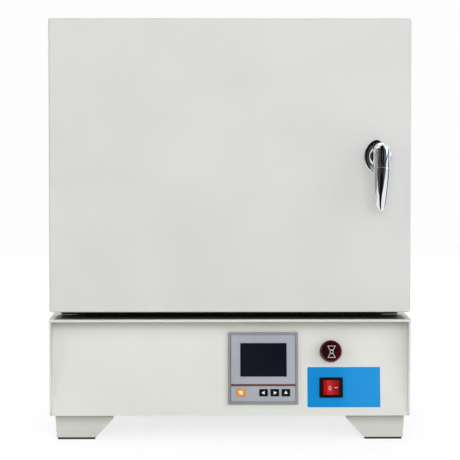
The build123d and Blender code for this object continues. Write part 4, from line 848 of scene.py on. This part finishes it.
oval_wide, oval_tall, oval_left = 34.0, 46.4, 3.8
rose = turned("handle_rosette", [(22.6, 0), (oval_tall / 2, 0.4), (oval_tall / 2, 1.3), (22.9, 1.9),
                                 (22.2, 2.5), (21.5, 2.85), (20.9, 3), (13, 3)], 96)
alone(rose)
rose.scale = (oval_wide / oval_tall, 1, 1)
rose.location = (-oval_left * mm, 0, 0)
bpy.ops.object.transform_apply(location=True, scale=True)
settle(to_door(rose), "door", chrome, "chrome", "rosette")
collar = turned("handle_collar", [(14.4, 0.3), (14.4, 7.0), (15.2, 11.0), (15.2, 16.6), (15, 17.3),
                                  (14.5, 18), (13.8, 18.5), (13, 18.8), (12.2, 18.9), (6.5, 18.9)], 96)
settle(to_door(collar), "door", chrome, "chrome")

# The head is a disc drawn down into a slab, domed in front and cut off level below
head_wide, head_thick, head_back, head_up, head_foot = 22, 10.0, 26, 8.3, -13.4
dome_inset, dome_rise, dome_steps = 10.6, 8, 10
head = mark("handle_head", 48, (head_wide, head_wide), head_thick)
alone(head)
bpy.ops.object.mode_set(mode="EDIT")
pick(head, "VERT", lambda corner: corner.co.y < -0.1 * mm)
bpy.ops.transform.translate(value=(0, -head_wide * mm, 0))
pick(head, "FACE", lambda face: face.normal.z > 0.9 and len(face.verts) > 8)
drawn_in, risen = 0.0, 0.0
for step in range(1, dome_steps + 1):
    angle = math.pi / 2 * step / dome_steps
    inset, rise = dome_inset * (1 - math.cos(angle)), dome_rise * math.sin(angle)
    bpy.ops.mesh.inset(thickness=(inset - drawn_in) * mm, depth=(rise - risen) * mm)
    drawn_in, risen = inset, rise
bpy.ops.mesh.select_all(action="SELECT")
bpy.ops.mesh.remove_doubles(threshold=0.01 * mm)
bpy.ops.mesh.select_all(action="SELECT")
bpy.ops.transform.translate(value=(0, head_up * mm, head_back * mm))
bpy.ops.mesh.bisect(plane_co=(0, head_foot * mm, 0), plane_no=(0, -1, 0), clear_outer=True, use_fill=True)
bpy.ops.object.mode_set(mode="OBJECT")
eased(head, 0.35, 2, 50)
settle(to_door(head), "door_handle", chrome, "chrome", "handle_lever")

neck = turned("handle_neck", [(5.2, 19.1), (8.6, 19.1), (9, 19.5), (9, 27)], 64)
settle(to_door(neck), "door_handle", chrome, "chrome")

# The blade is drawn down from a disc, flatter behind, and hangs a little to the left.
# Each station has its height, middle, width, front and depth.
stations = ((-13.5, 0, 21.8, 43.4, 13.0), (-17, -0.1, 21.8, 43.4, 12.9), (-21, -0.25, 21.6, 43.35, 12.7),
            (-25, -0.4, 21.3, 43.25, 12.5), (-29, -0.6, 20.9, 43.1, 12.2), (-33, -0.8, 20.4, 42.9, 11.9),
            (-37, -0.95, 19.8, 42.65, 11.6), (-41, -1.1, 19.2, 42.35, 11.2), (-45, -1.25, 18.5, 42.0, 10.8),
            (-49, -1.35, 17.7, 41.6, 10.4), (-53, -1.4, 16.9, 41.15, 9.9), (-57, -1.4, 15.9, 40.65, 9.4),
            (-61, -1.35, 14.5, 40.05, 8.7), (-64, -1.2, 12.9, 39.5, 8.0), (-66.5, -1.05, 10.9, 38.95, 7.1),
            (-68.4, -0.9, 8.8, 38.35, 5.9), (-69.5, -0.8, 6.8, 37.8, 4.7), (-70.1, -0.75, 4.7, 37.2, 3.3),
            (-70.2, -0.7, 2.6, 36.6, 2.0))
crown = 7.5
blade = begun("handle_blade", bpy.ops.mesh.primitive_circle_add, vertices=48, radius=mm, fill_type="NGON",
              rotation=(math.pi / 2, 0, 0))
bpy.ops.object.transform_apply(rotation=True)
bpy.ops.object.mode_set(mode="EDIT")
pick(blade, "VERT", lambda corner: corner.co.z < -0.01 * mm)
bpy.ops.transform.resize(value=(1, 1, 0.25), center_override=(0, 0, 0))
bpy.ops.transform.translate(value=(0, 0, -0.48 * mm))
bpy.ops.mesh.select_all(action="SELECT")
low, aside, wide, front, deep = stations[0]
bpy.ops.transform.resize(value=(wide / 2, 1, crown), center_override=(0, 0, 0))
bpy.ops.transform.translate(value=(0, low * mm, (front - crown) * mm))
for next_low, next_aside, next_wide, next_front, next_deep in stations[1:]:
    step = ((next_aside - aside) * mm, (next_low - low) * mm, (next_front - front) * mm)
    bpy.ops.mesh.extrude_region_move(TRANSFORM_OT_translate={"value": step})
    bpy.ops.transform.resize(value=(next_wide / wide, 1, next_deep / deep),
                             center_override=(next_aside * mm, next_low * mm, next_front * mm))
    low, aside, wide, front, deep = next_low, next_aside, next_wide, next_front, next_deep
closed()
eased(blade, 0.35, 2, 50)
settle(to_door(blade), "door_handle", chrome, "chrome")

# Floor, light and camera
# The furnace stands on a pale sweep, under soft boxes in front, above, behind and at both sides. Cards that
# only bright metal mirrors stand round it, so that the chrome shows black, brown, blue and grey stripes.


def bare_tree(piece):
    """Gives a piece of the studio an empty material, and returns its tree."""
    finish = bpy.data.materials.new(piece.name)
    finish.use_nodes = True
    finish.node_tree.nodes.clear()
    piece.data.materials.append(finish)
    return finish.node_tree


def seen_directly(tree):
    """1 for what the camera, a mirror or glass sees, and 0 for the light that falls on the furnace."""
    path = put(tree, "LightPath").outputs
    mirrored = maths(tree, "MAXIMUM", path["Is Camera Ray"], path["Is Glossy Ray"])
    return maths(tree, "MAXIMUM", mirrored, path["Is Transmission Ray"])


def glow(tree, colour, strength=1.0):
    """An even glow."""
    return put(tree, "Emission", {"Color": colour, "Strength": strength}).outputs[0]


white, white_level, fill_level = (1, 1, 1, 1), 0.985, 0.34
floor = begun("floor", bpy.ops.mesh.primitive_plane_add, size=24)
tree = bare_tree(floor)
away = between(tree, distance(tree, put(tree, "TexCoord").outputs["Object"]), 0.0, 1.0, 0.5, 4.0)
paper = put(tree, "BsdfDiffuse", {"Color": (0.8, 0.8, 0.8, 1)}).outputs[0]
catch = put(tree, "BsdfDiffuse", {"Color": (0.3, 0.3, 0.3, 1)}).outputs[0]
near_floor = put(tree, "AddShader", {0: catch, 1: glow(tree, white, 0.78)}).outputs[0]
shown = put(tree, "MixShader", {0: away, 1: near_floor, 2: glow(tree, white, white_level)}).outputs[0]
both = put(tree, "MixShader", {0: seen_directly(tree), 1: paper, 2: shown}).outputs[0]
put(tree, "OutputMaterial", {"Surface": both})

world = bpy.data.worlds.new("studio")
bpy.context.scene.world = world
world.use_nodes = True
tree = world.node_tree
tree.nodes.clear()
fill = between(tree, seen_directly(tree), fill_level, white_level)
put(tree, "OutputWorld", {"Surface": put(tree, "Background", {"Color": white, "Strength": fill}).outputs[0]})

high_aim, low_aim = Vector((0, -0.2, 0.3)), Vector((0, -0.2, 0.1))
for name, place, aim, size, level, mirrored in (
        ("front_box", (0.3, -3.0, 0.97), low_aim, (2.2, 1.1), 0.42, False),
        ("right_box", (2.2, -1.9, 1.1), low_aim, (1.4, 1.6), 0.18, True),
        ("left_box", (-2.2, -2.1, 1.0), low_aim, (1.4, 1.6), 0.14, False),
        ("top_box", (0, 0.8, 2.9), high_aim, (2.2, 2.2), 0.34, True),
        ("back_box", (-0.6, 3.0, 1.5), high_aim, (2.2, 1.2), 0.3, False)):
    lamp = bpy.data.lights.new(name, "AREA")
    lamp.shape, lamp.size, lamp.size_y = "RECTANGLE", *size
    way = aim - Vector(place)
    lamp.energy = level * math.pi ** 2 * way.length_squared
    stand = bpy.data.objects.new(name, lamp)
    bpy.context.scene.collection.objects.link(stand)
    stand.location, stand.rotation_euler = place, way.to_track_quat("-Z", "Y").to_euler()
    stand.visible_glossy = mirrored


def new_card(name, middle, size, turn, steps=()):
    """An upright card; each step draws its upper (1) or lower (-1) edge on by a shift, and narrows it."""
    piece = begun(name, bpy.ops.mesh.primitive_plane_add, size=1, rotation=turn)
    bpy.ops.object.transform_apply(rotation=True)
    bpy.ops.object.mode_set(mode="EDIT")
    bpy.ops.transform.resize(value=size, center_override=(0, 0, 0))
    bpy.ops.transform.translate(value=middle)
    bpy.ops.mesh.select_mode(type="EDGE")
    for way, shift, share, centre in steps:
        bpy.ops.mesh.select_all(action="DESELECT")
        edges = bmesh.from_edit_mesh(piece.data).edges
        last = max(edges, key=lambda edge: sum(way * end.co.z + end.co.y for end in edge.verts))
        last.select_set(True)
        bmesh.update_edit_mesh(piece.data)
        bpy.ops.mesh.extrude_edges_move(TRANSFORM_OT_translate={"value": shift})
        bpy.ops.transform.resize(value=(share, 1, 1), center_override=(centre, 0, 0))
    bpy.ops.object.mode_set(mode="OBJECT")
    piece.visible_camera = piece.visible_diffuse = piece.visible_shadow = False
    return bare_tree(piece)


# The dark card stands behind the camera, narrows upwards and runs forward on the floor
tree = new_card("dark_card", (0.15, -1.75, 0.675), (3.1, 1, 0.65), (math.pi / 2, 0, 0), (
    (1, (0, 0.02, 0.25), 0.74, 0.4), (1, (0, 0.08, 0.3), 0.66, 0.4), (1, (0, 0.2, 0.3), 0.6, 0.4),
    (1, (0, 0.3, 0.2), 0.4, 0.4), (1, (0, 0.2, 0.1), 0.15, 0.4), (-1, (0, 0, -0.35), 0.5, 0.1),
    (-1, (0, 0.25, 0.004), 0.47, 0.2), (-1, (0, 0.3, 0.004), 0.6, 0.1), (-1, (0, 0.35, 0.004), 0.6, 0.1),
    (-1, (0, 0.3, 0.004), 0.5, 0.1)))
place = put(tree, "TexCoord").outputs["Object"]
black, brown, dim_brown = (0.004, 0.004, 0.005, 1), (0.1, 0.08, 0.08, 1), (0.06, 0.05, 0.05, 1)
slate, pale_slate = (0.07, 0.095, 0.14, 1), (0.12, 0.16, 0.24, 1)
tones = ramp(tree, between(tree, axes(tree, place)["X"], 0.0, 1.0, -1.4, 1.7), (0.1, black), (0.2, brown),
             (0.4, dim_brown), (0.47, black), (0.65, black), (0.69, slate), (1.0, pale_slate))
patch = between(tree, distance(tree, place, (0.28, -1.75, 0.33)), 1.0, 0.0, 0.06, 0.1)
put(tree, "OutputMaterial", {"Surface": glow(tree, mixed(tree, patch, tones, brown))})
for name, middle, size, tone in (("blue_card", (0.85, -0.28, 0.29), (1, 0.33, 0.54), (0.1, 0.14, 0.22, 1)),
                                 ("grey_card", (-1.2, -0.8, 0.5), (1, 2.0, 0.9), (0.36, 0.35, 0.37, 1)),
                                 ("pale_card", (-0.6, -0.58, 0.095), (1, 1.12, 0.17), (0.68, 0.67, 0.69, 1))):
    tree = new_card(name, middle, size, (0, math.pi / 2, 0))
    put(tree, "OutputMaterial", {"Surface": glow(tree, tone)})

camera_data = bpy.data.cameras.new("camera")
camera_data.lens = 141.8
camera_data.shift_y = -0.0577
camera = bpy.data.objects.new("camera", camera_data)
bpy.context.scene.collection.objects.link(camera)
camera.location = (-0.025, -2.663, 0.4176)
camera.rotation_euler = (Vector((0, -0.263, 0.317)) - camera.location).to_track_quat("-Z", "Y").to_euler()
bpy.context.scene.camera = camera
bpy.context.scene.view_settings.view_transform = "Standard"
